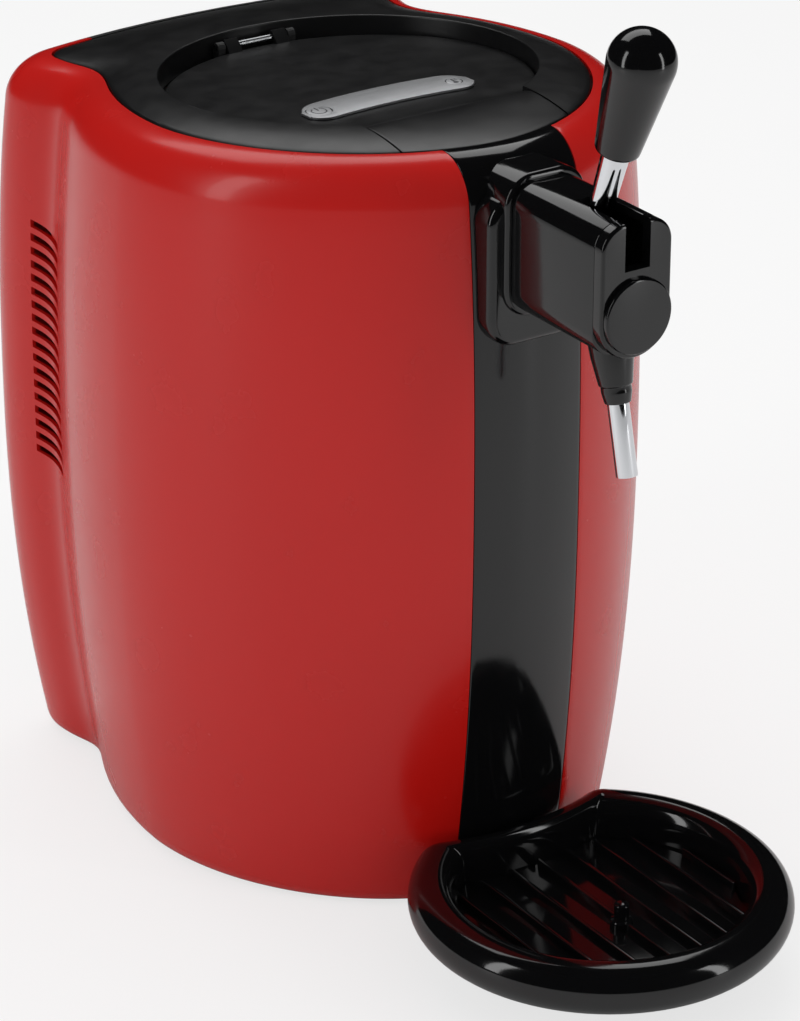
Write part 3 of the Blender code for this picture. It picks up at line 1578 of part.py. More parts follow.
screw_radius = 0.0015
screw_head_radius = 0.0029
screw_head_height = 0.0014
screw_length = 0.0130
drive_radius = 0.0011
post_radius = 0.0050
post_top = 0.0300
base_screws = {
    "base_screw_front_left": (-0.0960, -0.0480),
    "base_screw_front_right": (0.0960, -0.0480),
    "base_screw_rear_left": (-0.0870, 0.1060),
    "base_screw_rear_right": (0.0870, 0.1060),
}
shells = {side: bpy.data.objects["housing_right" if side > 0 else "housing_left"] for side in (1, -1)}


def screw():
    """Pan head below, plain shank above, with a six sided drive."""
    bm = turned([(0, 0), (screw_head_radius, 0), (screw_head_radius, screw_head_height),
                 (screw_radius, screw_head_height), (screw_radius, screw_length), (0, screw_length)], 12)
    return bm


def drive():
    return slab(circle(drive_radius, steps=6), -cut_overrun, screw_head_height * 0.7)


def add_screw(name, place):
    made = solid(name, moved(screw(), place), "steel")
    combine(made, moved(drive(), place))
    return made


def side_reach(y, inset):
    """How far the cabinet's side stands from the middle plane at a distance y."""
    points = side_section(inset)
    for (x0, y0), (x1, y1) in zip(points, points[1:]):
        if y0 <= y <= y1 and y1 > y0:
            return x0 + (x1 - x0) * (y - y0) / (y1 - y0)
    return rear_half_width - inset


web_half = 0.0015
web_bottom = 0.0120
post_bottom = base_top + base_rise + touch_gap
for name, (x, y) in base_screws.items():
    side = 1 if x > 0 else -1
    shell_part = shells[side]
    combine(shell_part, upright(post_radius, x, y, post_bottom, post_top), "UNION")
    web_end = side_reach(y, taper(web_bottom) + housing_wall / 2)
    x0, x1 = sorted((x, side * web_end))
    combine(shell_part, block(x0, x1, y - web_half, y + web_half, web_bottom, post_top), "UNION")
    hole = screw_radius + touch_gap
    head_room = screw_head_radius + touch_gap
    combine(shell_part, upright(hole, x, y, base_bottom, base_bottom + screw_length + touch_gap * 2, 16))
    combine(base, upright(hole, x, y, base_bottom - cut_overrun, base_top + cut_overrun, 16))
    combine(base, upright(head_room, x, y, base_bottom - cut_overrun,
                          base_bottom + touch_gap * 2 + screw_head_height, 24))
    add_screw(name, Matrix.Translation((x, y, base_bottom + touch_gap)))

cover_screw_x = 0.0540
tab_inner = 0.0460
tab_outer = 0.0750
tab_half = 0.0060
tab_depth = 0.0080
cover_recess = 0.0014
cover_screws = {
    "cover_screw_low_left": (-cover_screw_x, 0.0600),
    "cover_screw_low_right": (cover_screw_x, 0.0600),
    "cover_screw_high_left": (-cover_screw_x, 0.3250),
    "cover_screw_high_right": (cover_screw_x, 0.3250),
}


def inset_at(level, y):
    """Inset of the outer surface at a true height near a place y."""
    nominal = foot_stand + (level - foot_stand) * (deck_height - foot_stand) / (deck(y) - foot_stand)
    return taper(nominal)


for name, (x, z) in cover_screws.items():
    side = 1 if x > 0 else -1
    shell_part = shells[side]
    edge = rear_cover_half_width
    reaches = [rear_edge(u, inset_at(v, rear_reach) + housing_wall)
               for u in (tab_inner, edge) for v in (z - tab_half, z + tab_half)]
    tab_rear = min(reaches) - slide_gap
    x0, x1 = sorted((side * tab_inner, side * tab_outer))
    combine(shell_part, block(x0, x1, tab_rear - tab_depth, tab_rear, z - tab_half, z + tab_half), "UNION")
    face = rear_edge(x, inset_at(z, rear_reach))
    seat = face - cover_recess
    hole = screw_radius + touch_gap
    combine(cover, rod(screw_head_radius + touch_gap, (x, seat, z), (x, rear_reach + cut_overrun, z), 24))
    combine(cover, rod(hole, (x, seat - housing_wall * 2, z), (x, rear_reach, z)))
    tip = seat + touch_gap + screw_head_height - screw_length
    combine(shell_part, rod(hole, (x, tip - touch_gap, z), (x, rear_reach, z)))
    add_screw(name, Matrix.Translation((x, tip + screw_length, z)) @ Matrix.Rotation(math.pi / 2, 4, "X"))

fan_post_radius = 0.0025
fan_post_half = 0.0370
for sx in (-1, 1):
    for sz in (-1, 1):
        x, z = sx * fan_post_half, cool_middle + sz * fan_post_half
        end = rear_edge(x, inset_at(z, rear_reach) + housing_wall / 2)
        combine(cover, rod(fan_post_radius, (x, fan_back + touch_gap, z), (x, end, z)), "UNION")
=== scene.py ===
"""Mini keg beer dispenser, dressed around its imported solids.

Metres, +Z up, the tap towards -Y. Places are given from the upright axis of the cabinet, and
each piece is shifted by frame_shift when it is made, as the solids are.
"""

import math

import bmesh
import bpy
from mathutils import Matrix, Vector


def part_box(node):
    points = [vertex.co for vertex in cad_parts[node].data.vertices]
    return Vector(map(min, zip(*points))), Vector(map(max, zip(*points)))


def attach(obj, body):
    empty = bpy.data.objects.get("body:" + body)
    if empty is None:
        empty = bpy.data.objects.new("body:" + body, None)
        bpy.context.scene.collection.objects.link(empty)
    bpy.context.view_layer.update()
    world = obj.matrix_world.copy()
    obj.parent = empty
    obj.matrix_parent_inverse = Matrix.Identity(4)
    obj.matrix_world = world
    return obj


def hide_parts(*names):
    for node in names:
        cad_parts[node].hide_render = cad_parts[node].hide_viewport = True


bl_info = {
    "name": "Keg Dispenser",
    "version": (1, 0, 0),
    "blender": (4, 5, 0),
    "location": "View3D > Sidebar > Keg Dispenser",
    "description": "Builds a mini keg beer dispenser with its tap, lid and drip tray",
    "category": "Add Mesh",
}

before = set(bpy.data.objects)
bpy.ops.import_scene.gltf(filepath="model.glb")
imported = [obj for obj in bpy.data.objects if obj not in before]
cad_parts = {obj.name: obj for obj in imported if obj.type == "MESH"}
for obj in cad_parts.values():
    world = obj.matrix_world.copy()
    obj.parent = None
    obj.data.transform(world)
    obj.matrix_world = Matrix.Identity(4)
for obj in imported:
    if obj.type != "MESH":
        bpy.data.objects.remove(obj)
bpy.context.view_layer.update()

# Fits

touch_gap = 0.0003
slide_gap = 0.0008
overrun = 0.004

# Cabinet: plan of the housing at its widest level

body_half_width = 0.138
front_reach = 0.148
front_fullness = 1.84
flank_depth = 0.168
flank_turn = math.radians(30)
rear_half_width = 0.1198
rear_reach = 0.177
rear_bulge = 0.010
rear_corner_radius = 0.030
rear_corner_least = 0.010
rear_corner_shrink_share = 0.6
flank_pull = 0.033
rear_pull = 0.024
rear_cover_half_width = 0.062

# Cabinet: heights and upright profile

foot_stand = 0.003
deck_height = 0.3787
deck_slope = 0.055
widest_height = 0.207
top_taper = 0.0085
bottom_taper = 0.0153
shoulder_radius = 0.021
shoulder_reach_share = 0.86
bottom_round = 0.007
housing_wall = 0.0025
shoulder_start = deck_height - shoulder_radius

# Vent slots in the sides of the rear block

vent_count = 18
vent_pitch = 0.0071
vent_height = 0.0040
vent_top = 0.2947
vent_rear = 0.1182
vent_front = 0.0915
vent_slant = 0.0052

# Deck ring and lid

ring_gap = 0.0009
ring_skirt = 0.0036
ring_lip_reach = 0.0028
ring_lip_thickness = 0.0020
ring_thickness = 0.0028
ring_crown = 0.0050
ring_wall = 0.0025
ring_wall_drop = 0.0080
lid_centre = 0.008
lid_opening_radius = 0.0905
lid_gap = 0.0008
lid_groove = 0.0072
lid_recess = 0.0088
lid_dome = 0.0015
lid_thickness = 0.0026
tongue_half_width = 0.0457
tongue_blend_start = 0.052
tongue_blend_end = 0.080
tongue_floor = 0.0034
shelf_depth = 0.0020
throat_radius = 0.0931
hinge_y = 0.0925
hinge_z = deck_height - deck_slope * hinge_y - 0.0010
lug_radius = 0.0034

# Badge bar on the lid

badge_half_width = 0.0465
badge_half_depth = 0.0116
badge_centre = -0.0272
badge_bow = 0.0070
badge_thickness = 0.0012
button_x = -0.0384
button_radius = 0.0062
indicator_x = 0.0377
indicator_radius = 0.0040

# Column and tap

column_half_width = 0.0297
column_wall = 0.0030
column_flange = 0.0060
hook_half_width = 0.0180
hook_bottom = 0.0250
hook_top = 0.0310
tap_hole_half_width = 0.0130
tap_hole_bottom = 0.3450
tap_hole_top = 0.3610
surround_half_width = 0.0285
surround_bottom = 0.2985
surround_top = 0.3720
surround_corner = 0.0150
surround_face = 0.1520
surround_round = 0.0040
collar_margin = 0.0030
collar_face = 0.1545
tap_half_width = 0.019
tap_bottom = 0.3160
tap_top = 0.3787
tap_wall = 0.0035
tap_corner = 0.0120
tap_face = 0.2220
cover_depth = 0.0062
arm_rear = collar_face + touch_gap
arm_front = tap_face - cover_depth
cover_rear = arm_front + touch_gap
boss_radius = tap_half_width - 0.0012
boss_proud = 0.0030
boss_centre = tap_bottom + tap_half_width
boss_ease = 0.0010
cover_drop = 0.0015
cover_round = 0.0016
collar_round = 0.0022
anvil_face = 0.2037
anvil_half_width = 0.0065
anvil_bottom = 0.3205
anvil_top = 0.3400

# Lever and spout

lever_slot_width = 0.0136
lever_slot_drop = 0.0222
lever_slot_play = 0.0045
lever_axis_y = -0.1850
lever_axis_z = 0.3500
lever_lean = math.radians(19.5)
pin_radius = 0.0020
stem_radius = 0.0054
stem_top_radius = 0.0064
stem_start = 0.0045
stem_end = 0.0760
knob_start = 0.0605
knob_length = 0.0625
knob_radius = 0.0155
knob_foot_radius = 0.0104
knob_join = math.radians(-6.7)
knob_foot_round = 0.0012
hub_radius = 0.0056
hub_collar_radius = 0.0066
hub_collar_top = 0.0140
finger_reach = 0.0085
finger_half_width = 0.0035
finger_half_depth = 0.0012
finger_tip_radius = 0.0022
spout_lean = math.radians(13.8)
spout_top_y = -0.2041
spout_radius = 0.0050
spout_bore = 0.0037
spout_length = 0.0460
holder_socket = 0.0120
holder_radii = (0.0108, 0.0098, 0.0078, 0.0070, 0.0070, 0.0060)
holder_lengths = (-0.0060, 0.0060, 0.0190, 0.0195, 0.0225, 0.0275)

# Drip tray and its insert

tray_centre = 0.2076
tray_radius = 0.0910
tray_bottom = 0.0210
tray_top = 0.0460
tray_horn = 0.0140
tray_horn_least = 0.0035
tray_back_radius = 0.1400
tray_rim = 0.0122
tray_floor = 0.0240
tray_inner = 0.0212
tray_inner_drop = 0.0100
tray_back_share = 0.35
insert_thickness = 0.0020
insert_play = 0.0022
hook_front = 0.1435
hook_rear = 0.1190
rib_pairs = 4
rib_pitch = 0.0168
rib_last = 0.0645
rib_half_width = 0.0011
rib_top = 0.0302
rib_rear = 0.1575
rib_circle = 0.0676
stud_y = -0.2240
stud_radius = 0.0036
stud_top = 0.0390

frame_shift = (tray_centre + tray_radius - rear_reach) / 2

# Fine sizes of the lid's hinge, its two small caps and their printed marks

hinge_bore_radius = 0.0018
hinge_bore_half = 0.0225
lug_inner = 0.0100
lug_outer = 0.0175
cap_hole_below = 0.008
cap_hole_above = 0.004
flange_reach = 0.0018
flange_thickness = 0.0012
flange_play = 0.0008
button_stem = 0.0022
cap_ease = 0.0004
mark_sink = 0.0001
mark_rise = 0.00004
power_mark_radius = 0.0036
power_mark_gap = 32

# Camera, fitted to the photograph, and lamps: name, place, size and power

camera_place = (-0.9924, -1.4537, 1.0109)
camera_turn = math.radians(-33.53)
camera_rise = math.radians(24.29)
camera_lens = 141.9
camera_shift = (0.0226, -0.0732)
floor_half = 6
tent_size = 6
tent_middle = 2.9
white = (1.0, 1.0, 1.0, 1.0)
floor_glow = 0.72
world_fill = 0.62
lamp_target = (0, 0, 0.22)
lamps = (("left softbox", (-1.7, 0.1, 0.9), (0.30, 1.5), 6.0),
         ("right softbox", (0.9, -1.5, 0.7), (0.22, 1.3), 4.0),
         ("top softbox", (0.3, 0.9, 1.8), (1.8, 1.0), 13.0))


# Colours

def linear(code):
    """An sRGB hex colour as linear numbers."""
    shares = [int(code[i:i + 2], 16) / 255 for i in (0, 2, 4)]
    return [s / 12.92 if s <= 0.04045 else ((s + 0.055) / 1.055) ** 2.4 for s in shares]


def colour_choice(name, description, code):
    return bpy.props.FloatVectorProperty(name=name, description=description, subtype="COLOR",
                                         size=3, min=0, max=1, default=linear(code))


def length_choice(name, description, size):
    return bpy.props.FloatProperty(name=name, description=description, default=size, min=0,
                                   unit="LENGTH")


class KegColours(bpy.types.PropertyGroup):
    """Colours that a user would change"""
    housing: colour_choice("Housing", "Colour of the moulded housing shells", "BE140F")
    trim: colour_choice("Trim", "Colour of the column, tap, lid and tray", "0B0B0C")
    badge: colour_choice("Badge", "Colour of the brushed bar on the lid", "C9CACC")
    symbols: colour_choice("Symbols", "Ink of the two symbols on the bar", "4A4B4E")
    floor: colour_choice("Floor", "Colour of the studio floor", "F2F2F2")


class KegSizes(bpy.types.PropertyGroup):
    """Sizes that a user would change"""
    seam_round: length_choice("Seam rounding", "Rounding of the housing's seams", 0.0006)
    symbol_line: length_choice("Symbol line", "Line width of the bar's symbols", 0.0007)


# Materials

made_finishes = {}


def add(tree, kind, inputs=None, **settings):
    """Add a node; each input takes a value or the output that feeds it."""
    made = tree.nodes.new("ShaderNode" + kind)
    for key, value in settings.items():
        setattr(made, key, value)
    for key, value in (inputs or {}).items():
        if isinstance(value, bpy.types.NodeSocket):
            tree.links.new(value, made.inputs[key])
        else:
            made.inputs[key].default_value = value
    return made


def surface(name, constants):
    """A material with constants on its shader; gives the tree, the shader and object coordinates."""
    made = bpy.data.materials.new(name)
    made.use_nodes = True
    tree = made.node_tree
    shader = tree.nodes["Principled BSDF"]
    for key, value in constants.items():
        shader.inputs[key].default_value = value
    place = add(tree, "TexCoord").outputs["Object"]
    return made, tree, shader, place


def tinted(tree, shader, place, size, colour, share, detail=3.0):
    """Vary the colour softly around its value, in patches of a size in metres."""
    cloud = add(tree, "TexNoise", {"Vector": place, "Scale": 1 / size, "Detail": detail})
    low = [c * (1 - share) for c in colour] + [1]
    high = [min(c * (1 + share), 1) for c in colour] + [1]
    mix = add(tree, "Mix", {"Factor": cloud.outputs["Fac"], 6: low, 7: high}, data_type="RGBA")
    tree.links.new(mix.outputs[2], shader.inputs["Base Color"])


def roughened(tree, shader, place, size, low, high, detail=4.0):
    """Vary the roughness between two values, in patches of a size in metres."""
    cloud = add(tree, "TexNoise", {"Vector": place, "Scale": 1 / size, "Detail": detail})
    ramp = add(tree, "MapRange", {"Value": cloud.outputs["Fac"], "From Min": 0.3, "From Max": 0.7,
                                  "To Min": low, "To Max": high})
    tree.links.new(ramp.outputs["Result"], shader.inputs["Roughness"])


def rippled(tree, shader, place, size, height, detail=2.0, before=None):
    """Raise the surface by a fine height in metres, in grains of a size in metres."""
    grain = add(tree, "TexNoise", {"Vector": place, "Scale": 1 / size, "Detail": detail})
    inputs = {"Height": grain.outputs["Fac"], "Distance": height, "Strength": 1.0}
    if before is not None:
        inputs["Normal"] = before
    bump = add(tree, "Bump", inputs)
    tree.links.new(bump.outputs["Normal"], shader.inputs["Normal"])
    return bump.outputs["Normal"]


def moulded(name, colour, patches, low, high, grain, height, share=0.05, coat=0.0, ior=1.53):
    """Injection moulded plastic: clouded colour, uneven sheen and the fine skin of its mould."""
    made, tree, shader, place = surface(name, {"IOR": ior, "Coat Weight": coat, "Coat Roughness": 0.04})
    tinted(tree, shader, place, patches, colour, share)
    roughened(tree, shader, place, patches / 3, low, high)
    rippled(tree, shader, place, grain, height)
    return made


def metal(name, colour, low, high, grain, height, stretch=(1, 1, 1), share=0.04):
    """Bare or plated metal; a stretch draws its grain out into lines."""
    made, tree, shader, place = surface(name, {"Metallic": 1.0})
    drawn = add(tree, "Mapping", {"Vector": place, "Scale": stretch}).outputs["Vector"]
    tinted(tree, shader, drawn, grain * 4, colour, share)
    roughened(tree, shader, drawn, grain * 2, low, high)
    rippled(tree, shader, drawn, grain, height)
    return made


def make_finish(name):
    colours = bpy.context.scene.keg_colours
    trim = list(colours.trim)
    if name == "red_gloss":
        # Gloss ABS, injection moulded: deep even red, a clear skin with faint long waves.
        return moulded("red ABS gloss moulded", list(colours.housing), 0.09, 0.24, 0.28, 0.02,
                       0.000004, share=0.03, coat=0.10, ior=1.42)
    if name == "black_gloss":
        # Piano black ABS, moulded in a polished tool: near black, sharp reflections.
        return moulded("black ABS polished moulded", trim, 0.05, 0.07, 0.12, 0.005, 0.000010,
                       share=0.12)
    if name == "black_satin":
        # ABS from a spark eroded tool: black with a soft sheen over 0.3 mm grain.
        return moulded("black ABS satin moulded", linear("121213"), 0.04, 0.30, 0.38, 0.0006, 0.000012,
                       share=0.10)
    if name == "black_matte":
        # Glass filled nylon, moulded: dull black with a coarse grain and faint pale fibres.
        return moulded("black nylon matte moulded", linear("1B1B1C"), 0.02, 0.50, 0.62, 0.0008, 0.00004,
                       share=0.2)
    if name == "chrome":
        # Chrome plate on polished brass: mirror with a cool tint, the lightest haze of handling.
        return metal("chrome plated brass", linear("E2E4E7"), 0.03, 0.07, 0.004, 0.000002)
    if name == "brushed_silver":
        # Aluminium brushed along its length and anodised: pale, with 0.15 mm lines along X.
        return metal("brushed anodised aluminium", list(colours.badge), 0.42, 0.55, 0.00025, 0.000012,
                     stretch=(0.02, 1, 1), share=0.08)
    if name == "steel":
        # Zinc plated steel: grey, soft reflections, cloudy plating.
        return metal("zinc plated steel", linear("A9ABAD"), 0.24, 0.38, 0.0012, 0.00001, share=0.10)
    if name == "aluminium":
        # Extruded aluminium: bright grey with long draw lines along Z.
        return metal("extruded aluminium", linear("C4C6C9"), 0.32, 0.46, 0.0008, 0.00002,
                     stretch=(1, 1, 0.03), share=0.08)
    if name == "symbol_grey":
        # Screen printed ink: flat grey with the faint tooth of its mesh.
        return moulded("screen printed ink", list(colours.symbols), 0.01, 0.45, 0.55, 0.0003, 0.000006)
    if name == "rubber":
        # Moulded rubber: dull black with a soft bloom in its grain.
        return moulded("moulded rubber", linear("1C1C1D"), 0.01, 0.70, 0.85, 0.0007, 0.00005, share=0.25)
    if name == "liner_grey":
        # Polypropylene, moulded: pale grey with a waxy sheen.
        return moulded("pale polypropylene moulded", linear("B9BCBE"), 0.04, 0.34, 0.44, 0.002, 0.00002)
    if name == "ceramic":
        # Sintered alumina plates: off white, chalky.
        return moulded("sintered alumina", linear("ECEAE2"), 0.006, 0.5, 0.65, 0.0005, 0.00001, ior=1.7)
    if name == "foam":
        # Expanded polystyrene: white beads about 3 mm across, pressed flat against each other.
        made, tree, shader, place = surface("expanded polystyrene", {"IOR": 1.45, "Roughness": 0.85})
        beads = add(tree, "TexVoronoi", {"Vector": place, "Scale": 1 / 0.0032}, feature="DISTANCE_TO_EDGE")
        seam = add(tree, "MapRange", {"Value": beads.outputs["Distance"], "From Max": 0.12})
        tone = add(tree, "Mix", {"Factor": seam.outputs["Result"], 6: linear("CFCFCA") + [1],
                                 7: linear("F1F1EE") + [1]}, data_type="RGBA")
        tree.links.new(tone.outputs[2], shader.inputs["Base Color"])
        bump = add(tree, "Bump", {"Height": seam.outputs["Result"], "Distance": 0.0002, "Strength": 0.7})
        tree.links.new(bump.outputs["Normal"], shader.inputs["Normal"])
        return made
    if name == "board_green":
        # Glass epoxy board under green solder mask: 2.5 mm tracks show lighter through the mask.
        made, tree, shader, place = surface("green masked board", {"IOR": 1.5})
        tracks = add(tree, "TexBrick", {"Vector": place, "Scale": 1 / 0.005, "Mortar Size": 0.06,
                                        "Color1": linear("14502E") + [1], "Color2": linear("1A5E37") + [1],
                                        "Mortar": linear("2E8350") + [1]})
        tree.links.new(tracks.outputs["Color"], shader.inputs["Base Color"])
        roughened(tree, shader, place, 0.004, 0.28, 0.42)
        rippled(tree, shader, place, 0.0012, 0.00003)
        return made
    raise RuntimeError(f"no finish is named {name}")


def finish(name):
    if name not in made_finishes:
        made_finishes[name] = make_finish(name)
    return made_finishes[name]


# Rows of angles and points

def quarter(steps, first=0):
    """Angles that divide a quarter turn into steps, from the first of them on."""
    return [math.pi / 2 * i / steps for i in range(first, steps + 1)]


def eased_corner(radius, top, ease, steps=4):
    """(radius, height) points that round the upper corner of a turned piece."""
    return [(radius - ease * (1 - math.cos(a)), top - ease * (1 - math.sin(a)))
            for a in quarter(steps, 1)]


def spread(half, steps):
    """Places from -half to half in equal steps."""
    return [half * (2 * i / steps - 1) for i in range(steps + 1)]


# Shapes: each returns a bmesh

def loft(rings, wrap=True, caps=True):
    """Extrude the edges of a first ring of vertices through the places of the other rings."""
    bm = bmesh.new()
    number = bm.verts.layers.int.new("number")
    row = [bm.verts.new(point) for point in rings[0]]
    for i, vert in enumerate(row):
        vert[number] = i
    count = len(row)
    edges = [bm.edges.new((row[i], row[(i + 1) % count])) for i in range(count if wrap else count - 1)]
    if wrap and caps:
        bmesh.ops.contextual_create(bm, geom=edges)
    for ring in rings[1:]:
        made = bmesh.ops.extrude_edge_only(bm, edges=edges)["geom"]
        fresh = {item for item in made if isinstance(item, bmesh.types.BMVert)}
        for vert in fresh:
            vert.co = ring[vert[number]]
        edges = [item for item in made if isinstance(item, bmesh.types.BMEdge)
                 and item.verts[0] in fresh and item.verts[1] in fresh]
    if wrap and caps:
        bmesh.ops.contextual_create(bm, geom=edges)
    return bm


def turned(profile, steps, axis=(0, 0, 1)):
    """Spin (radius, height) points about Z into a closed solid."""
    bm = bmesh.new()
    row = [bm.verts.new((radius, 0, height)) for radius, height in profile]
    edges = [bm.edges.new(pair) for pair in zip(row, row[1:])]
    if profile[0][0] > 0:
        edges.append(bm.edges.new((row[-1], row[0])))
    bmesh.ops.spin(bm, geom=row + edges, cent=(0, 0, 0), axis=axis, angle=math.tau, steps=steps,
                   use_merge=True, use_duplicate=False)
    bmesh.ops.remove_doubles(bm, verts=bm.verts, dist=1e-7)
    return bm


def prism(outline, start, end, axis="Z"):
    """Push a flat outline, (x, y) for Z, (x, z) for Y or (y, z) for X, from start to end."""
    def lifted(u, v, w):
        return {"Z": (u, v, w), "Y": (u, w, v), "X": (w, u, v)}[axis]

    return loft([[lifted(u, v, w) for u, v in outline] for w in (start, end)])


def block(x0, x1, y0, y1, z0, z1):
    bm = bmesh.new()
    middle = Matrix.Translation(((x0 + x1) / 2, (y0 + y1) / 2, (z0 + z1) / 2))
    bmesh.ops.create_cube(bm, size=1, matrix=middle @ Matrix.Diagonal((x1 - x0, y1 - y0, z1 - z0, 1)))
    return bm


def rod(radius, start, end, steps=48):
    start, end = Vector(start), Vector(end)
    along = end - start
    turn = Vector((0, 0, 1)).rotation_difference(along).to_matrix().to_4x4()
    bm = bmesh.new()
    bmesh.ops.create_cone(bm, cap_ends=True, segments=steps, radius1=radius, radius2=radius,
                          depth=along.length, matrix=Matrix.Translation((start + end) / 2) @ turn)
    return bm


def rounded_outline(u0, u1, v0, v1, radius, steps=14, lower_radius=None):
    """Corners run from the lower right round to the lower left."""
    lower = radius if lower_radius is None else lower_radius
    corners = [(u1 - lower, v0 + lower, lower, -0.5), (u1 - radius, v1 - radius, radius, 0.0),
               (u0 + radius, v1 - radius, radius, 0.5), (u0 + lower, v0 + lower, lower, 1.0)]
    points = []
    for cu, cv, size, start in corners:
        for i in range(steps + 1):
            turn = math.pi * (start + 0.5 * i / steps)
            points.append((cu + size * math.cos(turn), cv + size * math.sin(turn)))
    return points


def moved(bm, matrix):
    bmesh.ops.transform(bm, matrix=matrix, verts=bm.verts)
    return bm


def merged(*parts):
    """Several bmeshes in one."""
    whole = bmesh.new()
    for bm in parts:
        work = bpy.data.meshes.new("work")
        bm.to_mesh(work)
        bm.free()
        whole.from_mesh(work)
        bpy.data.meshes.remove(work)
    return whole


def combined(target, tool, operation="DIFFERENCE"):
    """Cut a bmesh with another, or join the two."""
    works = []
    for bm in (target, tool):
        bmesh.ops.recalc_face_normals(bm, faces=bm.faces)
        mesh = bpy.data.meshes.new("work")
        bm.to_mesh(mesh)
        bm.free()
        works.append(bpy.data.objects.new("work", mesh))
        bpy.context.scene.collection.objects.link(works[-1])
    step = works[0].modifiers.new("step", "BOOLEAN")
    step.operation = operation
    step.solver = "EXACT"
    step.object = works[1]
    bpy.context.view_layer.update()
    result = bmesh.new()
    result.from_object(works[0], bpy.context.evaluated_depsgraph_get())
    for work in works:
        mesh = work.data
        bpy.data.objects.remove(work)
        bpy.data.meshes.remove(mesh)
    return result


def rounded(bm, chosen, width, segments=4):
    """Round the edges that a test picks."""
    edges = [e for e in bm.edges if chosen(e)]
    if not edges:
        raise RuntimeError("no edge was picked to round")
    bmesh.ops.bevel(bm, geom=edges, offset=width, segments=segments, profile=0.5, affect="EDGES",
                    material=-1, clamp_overlap=True)
    return bm


def at_level(axis, value):
    """A test for edges that lie at one level of an axis."""
    k = "xyz".index(axis)
    return lambda e: all(abs(v.co[k] - value) < 2e-5 for v in e.verts)


def sharp_edge(degrees):
    limit = math.radians(degrees)
    return lambda e: len(e.link_faces) == 2 and e.calc_face_angle(0) > limit


def piece(name, bm, coat, body, nodes=(), sharp=35):
    """Make an object of a bmesh, in the place of its solids, riding on its body."""
    bmesh.ops.remove_doubles(bm, verts=bm.verts, dist=1e-7)
    bmesh.ops.recalc_face_normals(bm, faces=bm.faces)
    bmesh.ops.translate(bm, vec=(0, frame_shift, 0), verts=bm.verts)
    mesh = bpy.data.meshes.new(name)
    bm.to_mesh(mesh)
    bm.free()
    mesh.shade_smooth()
    mesh.set_sharp_from_angle(angle=math.radians(sharp))
    mesh.materials.clear()
    mesh.materials.append(finish(coat))
    made = bpy.data.objects.new(name, mesh)
    bpy.context.scene.collection.objects.link(made)
    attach(made, body)
    if nodes:
        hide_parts(*nodes)
    return made


# Plan and profile of the cabinet

def front_edge(x, inset):
    wide = body_half_width - inset
    return -(front_reach - inset) * (1 - (abs(x) / wide) ** front_fullness) ** (1 / front_fullness)


def rear_corner(inset):
    return max(rear_corner_radius - rear_corner_shrink_share * max(inset, 0), rear_corner_least)


def rear_shape(inset):
    """Where the rear corner meets the bulged rear smoothly: x, fall and turn."""
    corner = rear_corner(inset)
    turn = 0.0
    for _ in range(12):
        meet = rear_half_width - inset - corner + corner * math.sin(turn)
        fall = rear_bulge + corner * (1 - math.cos(turn))
        turn = math.atan(2 * fall / meet)
    return meet, fall, turn


def rear_edge(x, inset):
    meet, fall, _ = rear_shape(inset)
    return rear_reach - inset - fall * (x / meet) ** 2


def side_section(inset, x_front=0.0, x_rear=0.0, front_steps=44, flank_steps=8, valley_steps=18,
                 corner_steps=12, rear_steps=8):
    """The right side of the plan, from the front at x_front to the rear at x_rear."""
    wide = body_half_width - inset
    deep = front_reach - inset
    start = math.asin((x_front / wide) ** (front_fullness / 2))
    points = []
    for i in range(front_steps):
        turn = start + (math.pi / 2 - start) * i / front_steps
        points.append((wide * math.sin(turn) ** (2 / front_fullness),
                       -deep * math.cos(turn) ** (2 / front_fullness)))
    points[0] = (x_front, front_edge(x_front, inset))
    for i in range(flank_steps + 1):
        turn = flank_turn * i / flank_steps
        points.append((wide * math.cos(turn), (flank_depth - inset) * math.sin(turn)))
    corner = rear_corner(inset)
    side = rear_half_width - inset
    level = rear_reach - inset - rear_bulge
    pull = Vector((-wide * math.sin(flank_turn), (flank_depth - inset) * math.cos(flank_turn)))
    pull = pull.normalized() * flank_pull
    p0, p3 = Vector(points[-1]), Vector((side, level - corner))
    p1, p2 = p0 + pull, p3 - Vector((0, rear_pull))
    for i in range(1, valley_steps + 1):
        t = i / valley_steps
        points.append(tuple((1 - t) ** 3 * p0 + 3 * (1 - t) ** 2 * t * p1 + 3 * (1 - t) * t * t * p2
                            + t ** 3 * p3))
    meet, _, last = rear_shape(inset)
    for i in range(1, corner_steps + 1):
        turn = (math.pi / 2 - last) * i / corner_steps
        points.append((side - corner + corner * math.cos(turn), level - corner + corner * math.sin(turn)))
    for i in range(1, rear_steps + 1):
        x = meet + (x_rear - meet) * i / rear_steps
        points.append((x, rear_edge(x, inset)))
    return points


def full_section(inset, **steps):
    right = side_section(inset, **steps)
    return right + [(-x, y) for x, y in reversed(right[1:-1])]


def deck(y):
    """Level of the sloping top plane."""
    return deck_height - deck_slope * y


def sloped(level, y):
    """A level of the middle, stretched so that the top follows the sloping deck."""
    return foot_stand + (level - foot_stand) * (deck(y) - foot_stand) / (deck_height - foot_stand)


def taper(level):
    if level > widest_height:
        return top_taper * ((level - widest_height) / (deck_height - widest_height)) ** 2.5
    return bottom_taper * ((widest_height - level) / (widest_height - foot_stand)) ** 2.3


